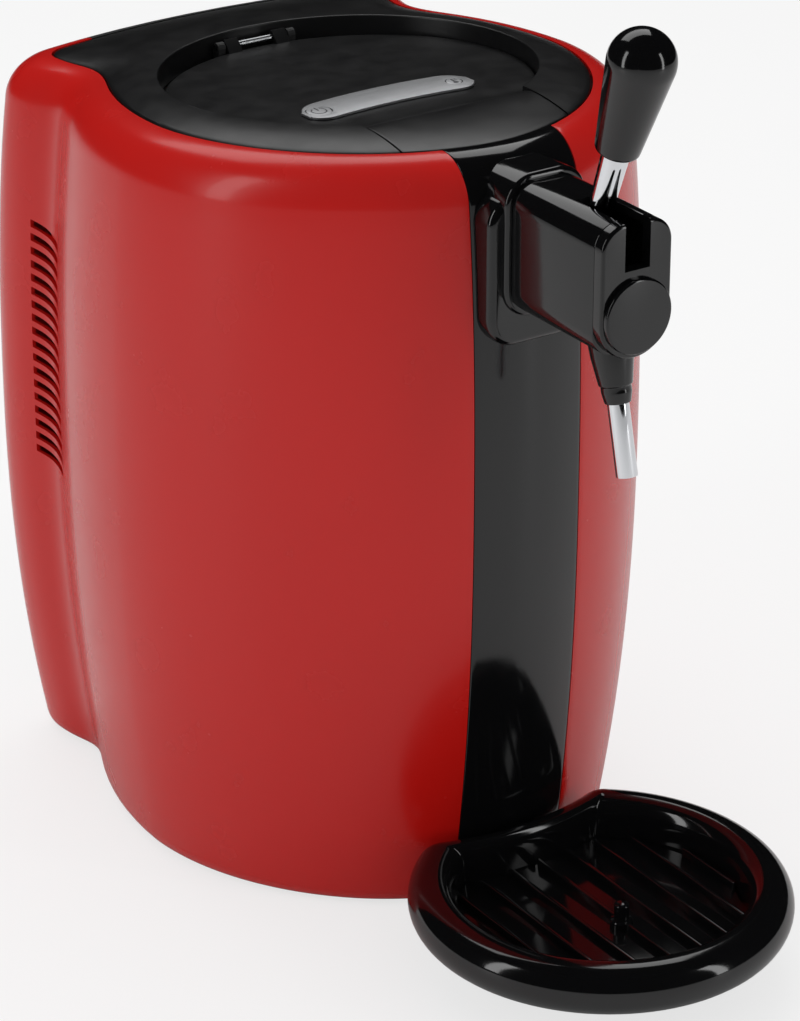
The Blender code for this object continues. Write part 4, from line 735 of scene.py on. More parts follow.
def profile(wall=0.0, low_steps=16, high_steps=12, shoulder_steps=14):
    """(inset, level) pairs up the side, for a surface that lies a wall inside the outer one."""
    pairs = []
    low = foot_stand + bottom_round
    for i in range(6):
        level = foot_stand + bottom_round * (1 - math.cos(math.pi / 2 * i / 5))
        curl = bottom_round * 0.5 * (1 - math.sqrt(max(1 - ((low - level) / bottom_round) ** 2, 0)))
        pairs.append((taper(level) + curl + wall, level))
    for start, end, steps in ((low, widest_height, low_steps), (widest_height, shoulder_start, high_steps)):
        for i in range(1, steps + 1 if start == low else steps):
            level = start + (end - start) * i / steps
            pairs.append((taper(level) + wall, level))
    radius = shoulder_radius - wall
    for i in range(shoulder_steps + 1):
        turn = math.pi / 2 * i / shoulder_steps
        level = shoulder_start + radius * math.sin(turn)
        reach = radius * shoulder_reach_share * (1 - math.cos(turn))
        pairs.append((taper(level) + reach + wall, level))
    return pairs


deck_inset = profile()[-1][0]


def cabinet_core(clearance):
    """The cabinet's outer form, larger by a clearance, as a cutter."""
    return loft([[(x, y, sloped(level, y)) for x, y in full_section(inset - clearance, front_steps=90)]
                 for inset, level in profile()])


# Deck outline, and the crown of the ring between it and the lid's opening

def deck_section(inset):
    return full_section(inset, front_steps=40, flank_steps=6, valley_steps=12, corner_steps=10,
                        rear_steps=12)


deck_outline = deck_section(deck_inset + ring_gap)
deck_ways = [Vector((x, y - lid_centre)).normalized() for x, y in deck_outline]


def outline_reach(way):
    """Distance from the lid's centre to the deck outline along a direction."""
    best = 0.0
    count = len(deck_outline)
    for i in range(count):
        ax, ay = deck_outline[i][0], deck_outline[i][1] - lid_centre
        bx, by = deck_outline[(i + 1) % count][0], deck_outline[(i + 1) % count][1] - lid_centre
        ex, ey = bx - ax, by - ay
        cross = way[0] * ey - way[1] * ex
        if abs(cross) > 1e-12:
            reach = (ax * ey - ay * ex) / cross
            along = (ax * way[1] - ay * way[0]) / cross
            if reach > best and -1e-9 <= along <= 1 + 1e-9:
                best = reach
    return best


def ring_rise(x, y):
    """Crown of the deck at a place between the housing edge and the lid opening."""
    away = Vector((x, y - lid_centre))
    outer = outline_reach(away.normalized())
    share = (outer - away.length) / (outer - lid_opening_radius)
    share = min(max(share, 0.0), 1.0)
    return ring_crown * (1 - (1 - share) ** 2)


def lid_rise(x, y):
    """Height of the lid's top over the deck plane: dished disc, then the tongue's crown."""
    span = math.hypot(x, y - lid_centre) / lid_opening_radius
    dish = ring_crown - lid_recess + lid_dome * (1 - min(span, 1.0) ** 2)
    share = (-y - tongue_blend_start) / (tongue_blend_end - tongue_blend_start)
    share = min(max(share, 0.0), 1.0)
    if share == 0:
        return dish
    share = share * share * (3 - 2 * share)
    return dish + (ring_rise(x, y) - dish) * share


def lid_level(x, y):
    return deck(y) + lid_rise(x, y)


def bow_at(x):
    return badge_centre + badge_bow * (1 - (x / badge_half_width) ** 2) * 0.5


def cap_holes(steps=48):
    """Cutters for the button and the indicator, through the bar and the lid."""
    holes = []
    for x, radius in ((button_x, button_radius), (indicator_x, indicator_radius)):
        y = bow_at(x)
        level = lid_level(x, y)
        holes.append(rod(radius + touch_gap, (x, y, level - cap_hole_below),
                         (x, y, level + cap_hole_above), steps))
    return holes


def tap_hole(rear, front):
    return prism(rounded_outline(-tap_hole_half_width, tap_hole_half_width, tap_hole_bottom,
                                 tap_hole_top, tap_corner * 0.5), rear, front, axis="Y")


def column_x(height_pair, x, wall):
    inset, level = height_pair
    y = front_edge(x, inset + wall)
    return x, y, sloped(level, y)


# Operators, in the order in which they run

class KEG_OT_housing(bpy.types.Operator):
    """Build the two red shells with their slanted vent slots"""
    bl_idname = "keg.housing"
    bl_label = "Housing"

    def execute(self, context):
        ends = column_half_width + touch_gap, rear_cover_half_width + touch_gap
        outer = [(level, side_section(inset, *ends)) for inset, level in profile()]
        inner = [(level, side_section(inset, *ends)) for inset, level in profile(housing_wall)]
        corner = sharp_edge(60)
        for side, name in ((1, "housing_right"), (-1, "housing_left")):
            rings = []
            for i in range(len(outer[0][1])):
                ring = []
                for level, section in outer + inner[::-1]:
                    x, y = section[i]
                    ring.append((side * x, y, sloped(level, y)))
                rings.append(ring)
            shell = loft(rings)
            rounded(shell, lambda e: corner(e)
                    and all(min(abs(abs(v.co.x) - end) for end in ends) < 1e-6 for v in e.verts),
                    context.scene.keg_sizes.seam_round, 3)
            x0, x1 = sorted((side * (rear_half_width - housing_wall * 4),
                             side * (rear_half_width + overrun)))
            slots = []
            for k in range(vent_count):
                top = vent_top - vent_pitch * k
                low = top - vent_slant
                outline = [(vent_rear, top), (vent_front, low), (vent_front, low - vent_height),
                           (vent_rear, top - vent_height)]
                slot = prism(outline, x0, x1, axis="X")
                rounded(slot, lambda e: abs(e.verts[0].co.x - e.verts[1].co.x) > 0.005, 0.0004, 3)
                slots.append(slot)
            piece(name + "_shell", combined(shell, merged(*slots)), "red_gloss", "cabinet",
                  (name,), sharp=30)
        return {"FINISHED"}


class KEG_OT_column(bpy.types.Operator):
    """Build the gloss black strip over the front joint"""
    bl_idname = "keg.column"
    bl_label = "Front column"

    def execute(self, context):
        half, wide = column_half_width, column_half_width + column_flange
        ease = context.scene.keg_sizes.seam_round
        front, back = housing_wall + slide_gap, housing_wall + slide_gap + column_wall / 2
        xs = spread(half - ease, 32)
        rounding = [(half - ease * (1 - math.sin(a)), ease * (1 - math.cos(a)))
                    for a in quarter(4, 1)]
        section = [(-wide, front), (-half, front)]
        section += [(-x, w) for x, w in reversed(rounding)] + [(x, 0.0) for x in xs] + rounding
        section += [(half, front), (wide, front), (wide, back)]
        section += [(x, back) for x in reversed(xs)] + [(-wide, back)]
        column = loft([[column_x(pair, x, wall) for x, wall in section]
                       for pair in profile()[5:]])
        start, end = -front_reach - overrun, -front_reach + column_wall * 8
        hook_hole = block(-hook_half_width - slide_gap, hook_half_width + slide_gap, start, end,
                          hook_bottom - slide_gap, hook_top + slide_gap)
        column = combined(column, merged(hook_hole, tap_hole(start, end)))
        piece("column_strip", column, "black_gloss", "cabinet", ("front_column",), sharp=30)
        return {"FINISHED"}


class KEG_OT_deck(bpy.types.Operator):
    """Build the crowned deck ring around the lid"""
    bl_idname = "keg.deck"
    bl_label = "Deck ring"

    def execute(self, context):
        edge = deck_inset + ring_gap
        lip = deck_inset - ring_lip_reach

        def outer(inset, drop):
            return [(x, y, deck(y) - drop) for x, y in deck_section(inset)]

        def between(share, drop):
            ring = []
            for (x, y), way in zip(deck_outline, deck_ways):
                px = x + (way[0] * lid_opening_radius - x) * share
                py = y + (lid_centre + way[1] * lid_opening_radius - y) * share
                ring.append((px, py, deck(py) + ring_crown * (1 - (1 - share) ** 2) - drop))
            return ring

        def wall(radius, drop):
            return [(w[0] * radius, lid_centre + w[1] * radius, deck(lid_centre + w[1] * radius) - drop)
                    for w in deck_ways]

        outer_wall = lid_opening_radius + ring_wall
        ease = 0.0008
        lip_low = ring_skirt + ring_lip_thickness
        rings = [outer(edge + ease * (1 - math.cos(a)), ease * (1 - math.sin(a)))
                 for a in quarter(4)[:-1]]
        rings += [between(0.04 + 0.92 * i / 14, 0.0) for i in range(15)]
        rings += [wall(lid_opening_radius + ease * (1 - math.sin(a)),
                       -ring_crown + ease * (1 - math.cos(a))) for a in quarter(4)]
        rings += [wall(lid_opening_radius, ring_wall_drop), wall(outer_wall, ring_wall_drop),
                  wall(outer_wall, ring_thickness - ring_crown + 0.0004),
                  between(0.5, ring_thickness), outer(edge + ring_wall, ring_thickness),
                  outer(edge + ring_wall, lip_low), outer(lip, lip_low), outer(lip, ring_skirt),
                  outer(edge, ring_skirt)]
        ring = loft(rings + [rings[0]], caps=False)
        bmesh.ops.remove_doubles(ring, verts=ring.verts, dist=1e-7)
        notch = tongue_half_width + lid_gap

        def slab(outline, low, high):
            return loft([[(x, y, deck(y) - drop) for x, y in outline] for drop in (low, high)])

        tongue = [(-notch, -front_reach), (notch, -front_reach), (notch, -notch), (-notch, -notch)]
        ring = combined(ring, slab(tongue, tongue_floor, -ring_crown * 3))
        radius = lid_opening_radius + ring_wall / 2
        xs = spread(notch + ring_wall, 24)
        shelf = [(x, front_edge(x, edge + ring_wall / 2)) for x in xs]
        shelf += [(x, lid_centre - math.sqrt(radius ** 2 - x ** 2)) for x in reversed(xs)]
        shelf_top = tongue_floor + 0.0004
        ring = combined(ring, slab(shelf, shelf_top + shelf_depth, shelf_top), "UNION")
        throat = [(x, lid_centre - math.sqrt(throat_radius ** 2 - x ** 2))
                  for x in spread(notch, 32)]
        ring = combined(ring, slab(throat + [(notch, -notch), (-notch, -notch)],
                                   ring_wall_drop * 2, -ring_crown * 3))
        span = column_half_width + column_flange + slide_gap * 2
        strip = [(x, front_edge(x, edge - touch_gap)) for x in spread(span, 16)]
        ring = combined(ring, slab(strip + [(span, -front_reach), (-span, -front_reach)],
                                   ring_skirt + ring_lip_thickness * 2, -ring_crown))
        piece("deck_ring_crown", ring, "black_satin", "cabinet", ("deck_ring",), sharp=30)
        return {"FINISHED"}


class KEG_OT_lid(bpy.types.Operator):
    """Build the dished lid with its tongue and hinge lugs"""
    bl_idname = "keg.lid"
    bl_label = "Lid"

    def execute(self, context):
        side_radius = lid_opening_radius - lid_gap
        rear_radius = side_radius - lid_groove
        half = tongue_half_width
        edge = deck_inset + ring_gap
        tip = front_edge(half, edge)
        seam = lid_centre - math.sqrt(side_radius ** 2 - half ** 2)
        start = math.atan2(seam - lid_centre, half)
        outline = []
        for i in range(97):
            turn = start + (math.pi - 2 * start) * i / 96
            radius_y = rear_radius if math.sin(turn) > 0 else side_radius
            outline.append((side_radius * math.cos(turn), lid_centre + radius_y * math.sin(turn)))
        outline += [(-half, seam + (tip - seam) * i / 8) for i in range(1, 8)]
        outline += [(x, front_edge(x, edge)) for x in spread(half, 24)]
        outline += [(half, seam + (tip - seam) * i / 8) for i in range(7, 0, -1)]
        ease = 0.0007
        shares = [(i / 40, 0.0) for i in range(6, 40)]
        shares += [(1 - ease / side_radius * (1 - math.sin(a)), ease * (1 - math.cos(a)))
                   for a in quarter(4)]
        shares += [(share, lid_thickness) for share in (1, 0.8, 0.5, 0.15)]
        rings = []
        for share, drop in shares:
            ring = []
            for x, y in outline:
                px, py = x * share, lid_centre + (y - lid_centre) * share
                ring.append((px, py, lid_level(px, py) - drop))
            rings.append(ring)
        lid = loft(rings)
        lugs = []
        for side in (-1, 1):
            x0, x1 = sorted((side * lug_inner, side * lug_outer))
            lug = [(hinge_y + lug_radius * math.cos(a), hinge_z + lug_radius * math.sin(a))
                   for a in [math.pi * (-0.5 + i / 16) for i in range(17)]]
            web = lid_centre + rear_radius - 0.0040
            low = lid_level(0, web) - lid_thickness * 0.9
            lug += [(hinge_y - lug_radius, hinge_z + lug_radius * 0.1),
                    (web, low + lid_thickness * 0.5), (web, low)]
            lugs.append(prism(lug, x0, x1, axis="X"))
        lid = combined(lid, merged(*lugs), "UNION")
        bore = rod(hinge_bore_radius, (-hinge_bore_half, hinge_y, hinge_z),
                   (hinge_bore_half, hinge_y, hinge_z), 24)
        lid = combined(lid, merged(bore, *cap_holes()))
        piece("lid_dish", lid, "black_satin", "lid", ("lid_panel",), sharp=30)
        return {"FINISHED"}


class KEG_OT_badge(bpy.types.Operator):
    """Build the brushed bar with its button, its indicator and the two symbols"""
    bl_idname = "keg.badge"
    bl_label = "Badge bar"

    def execute(self, context):
        line = context.scene.keg_sizes.symbol_line
        upper, lower = [], []
        for i in range(65):
            x = -badge_half_width * math.cos(math.pi * i / 64)
            past = max(abs(x) - badge_half_width + badge_half_depth, 0)
            room = max(badge_half_depth ** 2 - past ** 2, 0)
            half = max(math.sqrt(room), badge_half_depth * 0.35)
            upper.append((x, bow_at(x) + half))
            lower.append((x, bow_at(x) - half))
        outline = lower + upper[::-1]
        rows = []
        for shrink, rise in ((0, 0), (0, 0.7), (0.00012, 0.85), (0.0003, 0.95), (0.0005, 1.0)):
            ring = []
            for x, y in outline:
                middle = bow_at(x)
                px = x * (1 - shrink / badge_half_width)
                py = middle + (y - middle) * (1 - shrink / badge_half_depth)
                ring.append((px, py, lid_level(px, py) + touch_gap + badge_thickness * rise))
            rows.append(ring)
        bar = loft(rows, caps=False)
        number = bar.verts.layers.int["number"]
        count = len(outline)
        for level in (0, len(rows) - 1):
            row = sorted(list(bar.verts)[level * count:(level + 1) * count], key=lambda v: v[number])
            for i in range(count // 2 - 1):
                bmesh.ops.contextual_create(bar, geom=[row[i], row[i + 1], row[count - 2 - i],
                                                       row[count - 1 - i]])
        piece("badge_bar", combined(bar, merged(*cap_holes(64))), "brushed_silver", "lid",
              ("badge_plate",), sharp=30)

        def cap(x, radius, start):
            """Rows of a flanged cap, after its first points; gives its top and its place."""
            top = lid_level(x, bow_at(x)) + touch_gap + badge_thickness
            flange = top - badge_thickness - touch_gap - lid_thickness - flange_play
            low = flange - flange_thickness
            rim = radius + flange_reach
            rows = start(low) + [(rim, low), (rim, flange), (radius, flange), (radius, top - cap_ease)]
            rows += eased_corner(radius, top, cap_ease) + [(0, top)]
            place = Matrix.Translation((x, bow_at(x), 0))
            return moved(turned(rows, 64), place), top, place

        def inked(outline, top):
            return prism(outline, top - mark_sink, top + mark_rise)

        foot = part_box("power_button")[0][2]
        button, top, place = cap(button_x, button_radius, lambda low: [
            (0, foot), (button_stem, foot), (button_stem, low)])
        piece("power_button_cap", button, "brushed_silver", "button", ("power_button",))
        start, sweep = math.radians(power_mark_gap), math.radians(360 - 2 * power_mark_gap)
        turns = [math.pi / 2 + start + sweep * i / 40 for i in range(41)]
        loop = [(math.cos(turn), math.sin(turn)) for turn in turns]
        wide, narrow = power_mark_radius + line / 2, power_mark_radius - line / 2
        rim = [(u * wide, v * wide) for u, v in loop]
        rim += [(u * narrow, v * narrow) for u, v in reversed(loop)]
        stroke = rounded_outline(-line / 2, line / 2, 0.0004, 0.0048, line / 2 * 0.9, 4)
        power = merged(inked(rim, top), inked(stroke, top))
        piece("power_symbol", moved(power, place), "symbol_grey", "button")

        lens, top, place = cap(indicator_x, indicator_radius, lambda low: [(0, low)])
        piece("indicator_cap", lens, "brushed_silver", "lid", ("indicator_lens",))
        bulb = [(0.00135 * math.cos(a), -0.0019 + 0.00135 * math.sin(a))
                for a in [math.pi / 2 + 0.45 + (math.tau - 0.9) * i / 24 for i in range(25)]]
        tube = [(0.0006 * math.cos(a), 0.0022 + 0.0006 * math.sin(a))
                for a in [math.pi * i / 8 for i in range(9)]]
        gauge = [inked(bulb + tube, top)]
        for k in range(3):
            tick = rounded_outline(0.0012, 0.0024, 0.0004 + 0.0009 * k, 0.0008 + 0.0009 * k,
                                   0.0001, 2)
            gauge.append(inked(tick, top))
        piece("temperature_symbol", moved(merged(*gauge), place), "symbol_grey", "lid")
        return {"FINISHED"}


def spout_place():
    down = Vector((0, -math.sin(spout_lean), -math.cos(spout_lean)))
    turn = Vector((0, 0, 1)).rotation_difference(down).to_matrix().to_4x4()
    return Matrix.Translation((0, spout_top_y, tap_bottom)) @ turn


class KEG_OT_tap(bpy.types.Operator):
    """Build the tap's surround, arm and front cover"""
    bl_idname = "keg.tap"
    bl_label = "Tap"

    def execute(self, context):
        sunk = -front_reach + column_wall * 6

        def boxed(grow, corner, steps, start, end):
            """The tap's rounded section, larger by a margin, from start to end."""
            return prism(rounded_outline(-tap_half_width - grow, tap_half_width + grow,
                                         tap_bottom - grow, tap_top + grow, corner, steps),
                         start, end, axis="Y")

        def spout_hole(radius, low, high, steps):
            wide = radius + touch_gap
            return moved(turned([(0, low), (wide, low), (wide, high), (0, high)], steps),
                         spout_place())

        plate = prism(rounded_outline(-surround_half_width, surround_half_width, surround_bottom,
                                      surround_top, surround_corner, 20),
                      -surround_face, sunk, axis="Y")
        rounded(plate, at_level("y", -surround_face), surround_round, 8)
        collar = boxed(collar_margin, tap_corner + collar_margin, 20, -collar_face, sunk)
        rounded(collar, at_level("y", -collar_face), collar_round, 6)
        surround = combined(plate, collar, "UNION")
        surround = combined(surround, cabinet_core(touch_gap))
        surround = combined(surround, tap_hole(-collar_face - overrun,
                                               -front_reach + column_wall * 8))
        piece("tap_surround_shell", surround, "black_gloss", "cabinet", ("tap_surround",), sharp=40)

        arm = boxed(0, tap_corner, 20, -arm_front, -arm_rear)
        rounded(arm, at_level("y", -arm_front), 0.0004, 2)
        arm = combined(arm, boxed(-tap_wall, tap_corner - tap_wall, 12, -arm_front - overrun,
                                  -arm_rear - tap_wall))
        half = lever_slot_width / 2
        lean_reach = (tap_top - lever_axis_z) * math.tan(lever_lean)
        slot_rear = lever_axis_y + stem_radius - lean_reach + lever_slot_play
        slot = prism(rounded_outline(-half, half, -arm_front - overrun * 2, slot_rear, 0.0012, 6),
                     tap_top - tap_wall * 2, tap_top + overrun)
        pin = rod(pin_radius + touch_gap,
                  (-tap_half_width + tap_wall / 2, lever_axis_y, lever_axis_z),
                  (tap_half_width + overrun, lever_axis_y, lever_axis_z), 32)
        mouth = spout_hole(spout_radius, -tap_wall * 3, tap_wall * 2, 40)
        arm = combined(arm, merged(tap_hole(-arm_front, -arm_rear + overrun), slot, pin, mouth))
        piece("tap_arm_shell", arm, "black_gloss", "cabinet", ("tap_arm",), sharp=40)

        outline = rounded_outline(-tap_half_width, tap_half_width, tap_bottom - cover_drop, tap_top,
                                  tap_corner, 24, lower_radius=tap_half_width - 0.0004)
        cover = prism(outline, -tap_face, -cover_rear, axis="Y")
        rounded(cover, at_level("y", -tap_face), cover_round, 6)
        boss = turned([(0, 0), (boss_radius, 0), (boss_radius, boss_proud - boss_ease)]
                      + eased_corner(boss_radius, boss_proud, boss_ease, 5) + [(0, boss_proud)], 96)
        boss = moved(boss, Matrix.Translation((0, -tap_face + boss_proud * 0.1, boss_centre))
                     @ Matrix.Rotation(math.pi / 2, 4, "X"))
        cover = combined(cover, boss, "UNION")
        cover = combined(cover, block(-half, half, -tap_face - overrun, -cover_rear + overrun,
                                      tap_top - lever_slot_drop, tap_top + overrun))
        cover = combined(cover, spout_hole(holder_radii[0], -overrun * 3, overrun * 3, 64))
        anvil = block(-anvil_half_width, anvil_half_width, -cover_rear - cover_depth / 3,
                      -anvil_face, anvil_bottom, anvil_top)
        cover = combined(cover, anvil, "UNION")
        piece("tap_cover_face", cover, "black_gloss", "cabinet", ("tap_cover",), sharp=40)
        return {"FINISHED"}


class KEG_OT_lever(bpy.types.Operator):
    """Build the lever's hub, chrome stem and black knob"""
    bl_idname = "keg.lever"
    bl_label = "Lever"

    def execute(self, context):
        turn = Matrix.Rotation(lever_lean, 4, "X")
        lean = Matrix.Translation((0, lever_axis_y, lever_axis_z)) @ turn

        def across(radius, half, level, steps):
            """A rod along X below the lever's axis."""
            return rod(radius, (-half, lever_axis_y, level), (half, lever_axis_y, level), steps)

        low = lever_axis_z - finger_reach
        collar = [(0, 0), (hub_collar_radius, 0), (hub_collar_radius, hub_collar_top - 0.0006),
                  (hub_collar_radius - 0.0005, hub_collar_top), (0, hub_collar_top)]
        hub = across(hub_radius, lever_slot_width / 2 - slide_gap, lever_axis_z, 64)
        for part in (block(-finger_half_width, finger_half_width, lever_axis_y - finger_half_depth,
                           lever_axis_y + finger_half_depth, low, lever_axis_z),
                     across(finger_tip_radius, finger_half_width, low, 40),
                     moved(turned(collar, 48), lean)):
            hub = combined(hub, part, "UNION")
        hub = combined(hub, across(pin_radius + touch_gap, tap_half_width, lever_axis_z, 40))
        wide, start, end = stem_radius + touch_gap, stem_start - touch_gap, hub_radius * 4
        socket = turned([(0, start), (wide, start), (wide, end), (0, end)], 48)
        hub = combined(hub, moved(socket, lean))
        piece("lever_hub_cam", hub, "black_matte", "lever", ("lever_hub",))
        stem = turned([(0, stem_start), (stem_radius - 0.0003, stem_start),
                       (stem_radius, stem_start + 0.0003), (stem_radius, hub_collar_top),
                       (stem_top_radius, knob_start), (stem_top_radius, stem_end), (0, stem_end)], 64)
        piece("lever_stem_rod", moved(stem, lean), "chrome", "lever", ("lever_stem",))
        bore = stem_top_radius + touch_gap
        ball = knob_start + knob_length - knob_radius

        def on_ball(a):
            return knob_radius * math.cos(a), ball + knob_radius * math.sin(a)

        flat = knob_foot_radius - knob_foot_round
        skin = [(bore, knob_start), (flat, knob_start)]
        skin += [(flat + knob_foot_round * math.sin(a), knob_start + 0.0016 * (1 - math.cos(a)))
                 for a in quarter(4, 1)]
        foot, neck = skin[-1], on_ball(knob_join)
        skin += [(foot[0] + (neck[0] - foot[0]) * i / 10, foot[1] + (neck[1] - foot[1]) * i / 10)
                 for i in range(1, 10)]
        skin += [on_ball(knob_join + (math.pi / 2 - knob_join) * i / 28) for i in range(28)]
        skin += [(0, ball + knob_radius)]
        lining = [(0, stem_end + touch_gap), (bore, stem_end + touch_gap), (bore, knob_start)]
        knob = turned_pair(skin, lining, 96)
        piece("lever_knob_grip", moved(knob, lean), "black_gloss", "lever", ("lever_knob",))
        return {"FINISHED"}


def turned_pair(skin, lining, steps):
    """Spin an outer skin and the lining of a blind bore, and join them where they meet."""
    bm = bmesh.new()
    for points in (skin, lining):
        row = [bm.verts.new((radius, 0, height)) for radius, height in points]
        edges = [bm.edges.new(pair) for pair in zip(row, row[1:])]
        bmesh.ops.spin(bm, geom=row + edges, cent=(0, 0, 0), axis=(0, 0, 1), angle=math.tau, steps=steps,
                       use_merge=True, use_duplicate=False)
    bmesh.ops.remove_doubles(bm, verts=bm.verts, dist=1e-7)
    return bm


class KEG_OT_spout(bpy.types.Operator):
    """Build the black spout holder and its chrome tube"""
    bl_idname = "keg.spout"
    bl_label = "Spout"

    def execute(self, context):
        holder_end = holder_lengths[-1]
        holder = turned([(0, holder_lengths[0])] + list(zip(holder_radii, holder_lengths))
                        + [(0, holder_end)], 80)
        turned_edge = sharp_edge(8)
        rounded(holder, lambda e: turned_edge(e)
                and all(v.co.to_2d().length > 0.004 for v in e.verts)
                and abs(e.verts[0].co.z - e.verts[1].co.z) < 1e-6, 0.0004, 3)
        tube_start = holder_end - holder_socket
        mouth, stop = spout_radius + touch_gap, tube_start - touch_gap
        holder = combined(holder, turned([(0, -0.016), (spout_bore, -0.016), (spout_bore, stop),
                                          (mouth, stop), (mouth, holder_end + overrun),
                                          (0, holder_end + overrun)], 48))
        tap_inside = block(-tap_half_width * 2, tap_half_width * 2, -tap_face * 1.2, -arm_rear,
                           tap_bottom - touch_gap, tap_top)
        holder = combined(moved(holder, spout_place()), tap_inside)
        piece("spout_holder_cone", holder, "black_gloss", "cabinet", ("spout_holder",))
        end = tube_start + spout_length
        tube = turned([(spout_radius, tube_start), (spout_radius, end - 0.0004),
                       (spout_radius - 0.0001, end - 0.0001), (spout_radius - 0.0004, end),
                       (spout_bore + 0.0002, end), (spout_bore, end - 0.0002),
                       (spout_bore, tube_start)], 64)
        piece("spout_tube_bare", moved(tube, spout_place()), "chrome", "cabinet", ("spout_tube",), sharp=50)
        return {"FINISHED"}


def tray_outline(inset, front_steps=84, horn_steps=12, back_steps=32):
    """Front circle and hollow rear arc with round horns; the rear rim is the narrower one."""
    horn = max(tray_horn - inset, tray_horn_least)
    back_inset = inset if inset < tray_rim else tray_rim + (inset - tray_rim) * tray_back_share
    near = tray_radius - inset - horn
    far = tray_back_radius + back_inset + horn
    y = (near ** 2 - far ** 2 - tray_centre ** 2) / (2 * tray_centre)
    x = math.sqrt(far ** 2 - y ** 2)
    front_turn = math.atan2(y + tray_centre, x)
    back_turn = math.atan2(y, x)
    points = []
    for i in range(front_steps + 1):
        turn = math.pi - front_turn + (math.pi + 2 * front_turn) * i / front_steps
        points.append(((tray_radius - inset) * math.cos(turn),
                       -tray_centre + (tray_radius - inset) * math.sin(turn)))
    sweep = back_turn + math.pi - front_turn
    for i in range(1, horn_steps + 1):
        turn = front_turn + sweep * i / horn_steps
        points.append((x + horn * math.cos(turn), y + horn * math.sin(turn)))
    reach = tray_back_radius + back_inset
    for i in range(1, back_steps):
        turn = back_turn + (-math.pi - 2 * back_turn) * i / back_steps
        points.append((reach * math.cos(turn), reach * math.sin(turn)))
    for i in range(horn_steps):
        turn = front_turn + sweep * (horn_steps - i) / horn_steps
        points.append((-x - horn * math.cos(turn), y + horn * math.sin(turn)))
    return points


class KEG_OT_tray(bpy.types.Operator):
    """Build the drip tray bowl and its ribbed insert"""
    bl_idname = "keg.tray"
    bl_label = "Drip tray"

    def execute(self, context):
        def level(inset, z):
            return [(x, y, z) for x, y in tray_outline(inset)]

        middle, half = (tray_bottom + tray_top) / 2, (tray_top - tray_bottom) / 2
        rings = [level(tray_rim - tray_rim * math.cos(a), middle + half * math.sin(a))
                 for a in [math.pi * (i / 20 - 0.5) for i in range(21)]]
        rings += [level(tray_rim + (tray_inner - tray_rim) * math.sin(a),
                        tray_top - tray_inner_drop * (1 - math.cos(a)))
                  for a in [math.pi / 2 * i / 12 for i in range(1, 13)]]
        rings += [level(tray_inner + touch_gap * 1.5, (tray_floor + tray_top - tray_inner_drop) / 2),
                  level(tray_inner + touch_gap * 3, tray_floor)]
        hook = block(-hook_half_width, hook_half_width, -hook_front - tray_rim / 2, -hook_rear,
                     hook_bottom, hook_top)
        bowl = combined(loft(rings), hook, "UNION")
        piece("drip_tray_bowl", bowl, "black_gloss", "tray", ("drip_tray",))

        low = tray_floor + touch_gap
        high = low + insert_thickness
        sunk = low + insert_thickness / 2
        edge = tray_inner + insert_play
        plate = loft([level(edge, low), level(edge, high)])
        rounded(plate, at_level("z", high), 0.0005, 3)
        ribs = []
        for k in range(-rib_pairs, rib_pairs + 1):
            x = max(-rib_last, min(rib_last, k * rib_pitch))
            chord = math.sqrt(rib_circle ** 2 - x ** 2)
            front, rear = -tray_centre - chord, min(-rib_rear, chord - tray_centre)
            outline = rounded_outline(x - rib_half_width, x + rib_half_width, front, rear,
                                      rib_half_width * 0.98, 8)
            rib = prism(outline, sunk, rib_top)
            rounded(rib, at_level("z", rib_top), rib_half_width * 0.8, 5)
            ribs.append(rib)
        dome = [(stud_radius * math.cos(a), stud_top - stud_radius * 0.45 * (1 - math.sin(a)))
                for a in quarter(8)[:-1]]
        stud = turned([(0, sunk), (stud_radius * 1.5, sunk), (stud_radius * 1.5, rib_top - 0.0006),
                       (stud_radius * 1.42, rib_top - 0.0002), (stud_radius * 1.25, rib_top),
                       (stud_radius, rib_top + 0.0003)] + dome + [(0, stud_top)], 48)
        insert = merged(plate, *ribs, moved(stud, Matrix.Translation((0, stud_y, 0))))
        piece("tray_insert_ribbed", insert, "black_gloss", "insert", ("tray_insert",))
        return {"FINISHED"}


# Solids that keep their CAD shape and only get a finish

node_finishes = {
    "black_matte": ("base_plate", "fan_frame", "fan_impeller", "rear_cover", "power_inlet",
                    "lid_hinge_bracket"),
    "rubber": ("foot_front_left", "foot_front_right", "foot_rear_left", "foot_rear_right",
               "lid_seal"),
    "liner_grey": ("keg_chamber_liner", "lid_plug"),
    "foam": ("chamber_insulation", "lid_foam"),
    "aluminium": ("cold_plate", "heat_sink"),
    "ceramic": ("thermoelectric_module",),
    "board_green": ("power_supply_board", "control_board"),
    "steel": ("lever_pivot_pin", "pinch_spring", "button_spring", "lid_hinge_pin",
              "base_screw_front_left", "base_screw_front_right",
              "base_screw_rear_left", "base_screw_rear_right",
              "cover_screw_low_left", "cover_screw_low_right",
              "cover_screw_high_left", "cover_screw_high_right"),
    "black_satin": ("pinch_bar",),
}


class KEG_OT_works(bpy.types.Operator):
    """Finish the solids of the chamber, the cooling unit, the rear and the base"""
    bl_idname = "keg.works"
    bl_label = "Inner works and rear"

    def execute(self, context):
        for coat, names in node_finishes.items():
            for name in names:
                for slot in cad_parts[name].material_slots:
                    slot.material = finish(coat)
        return {"FINISHED"}


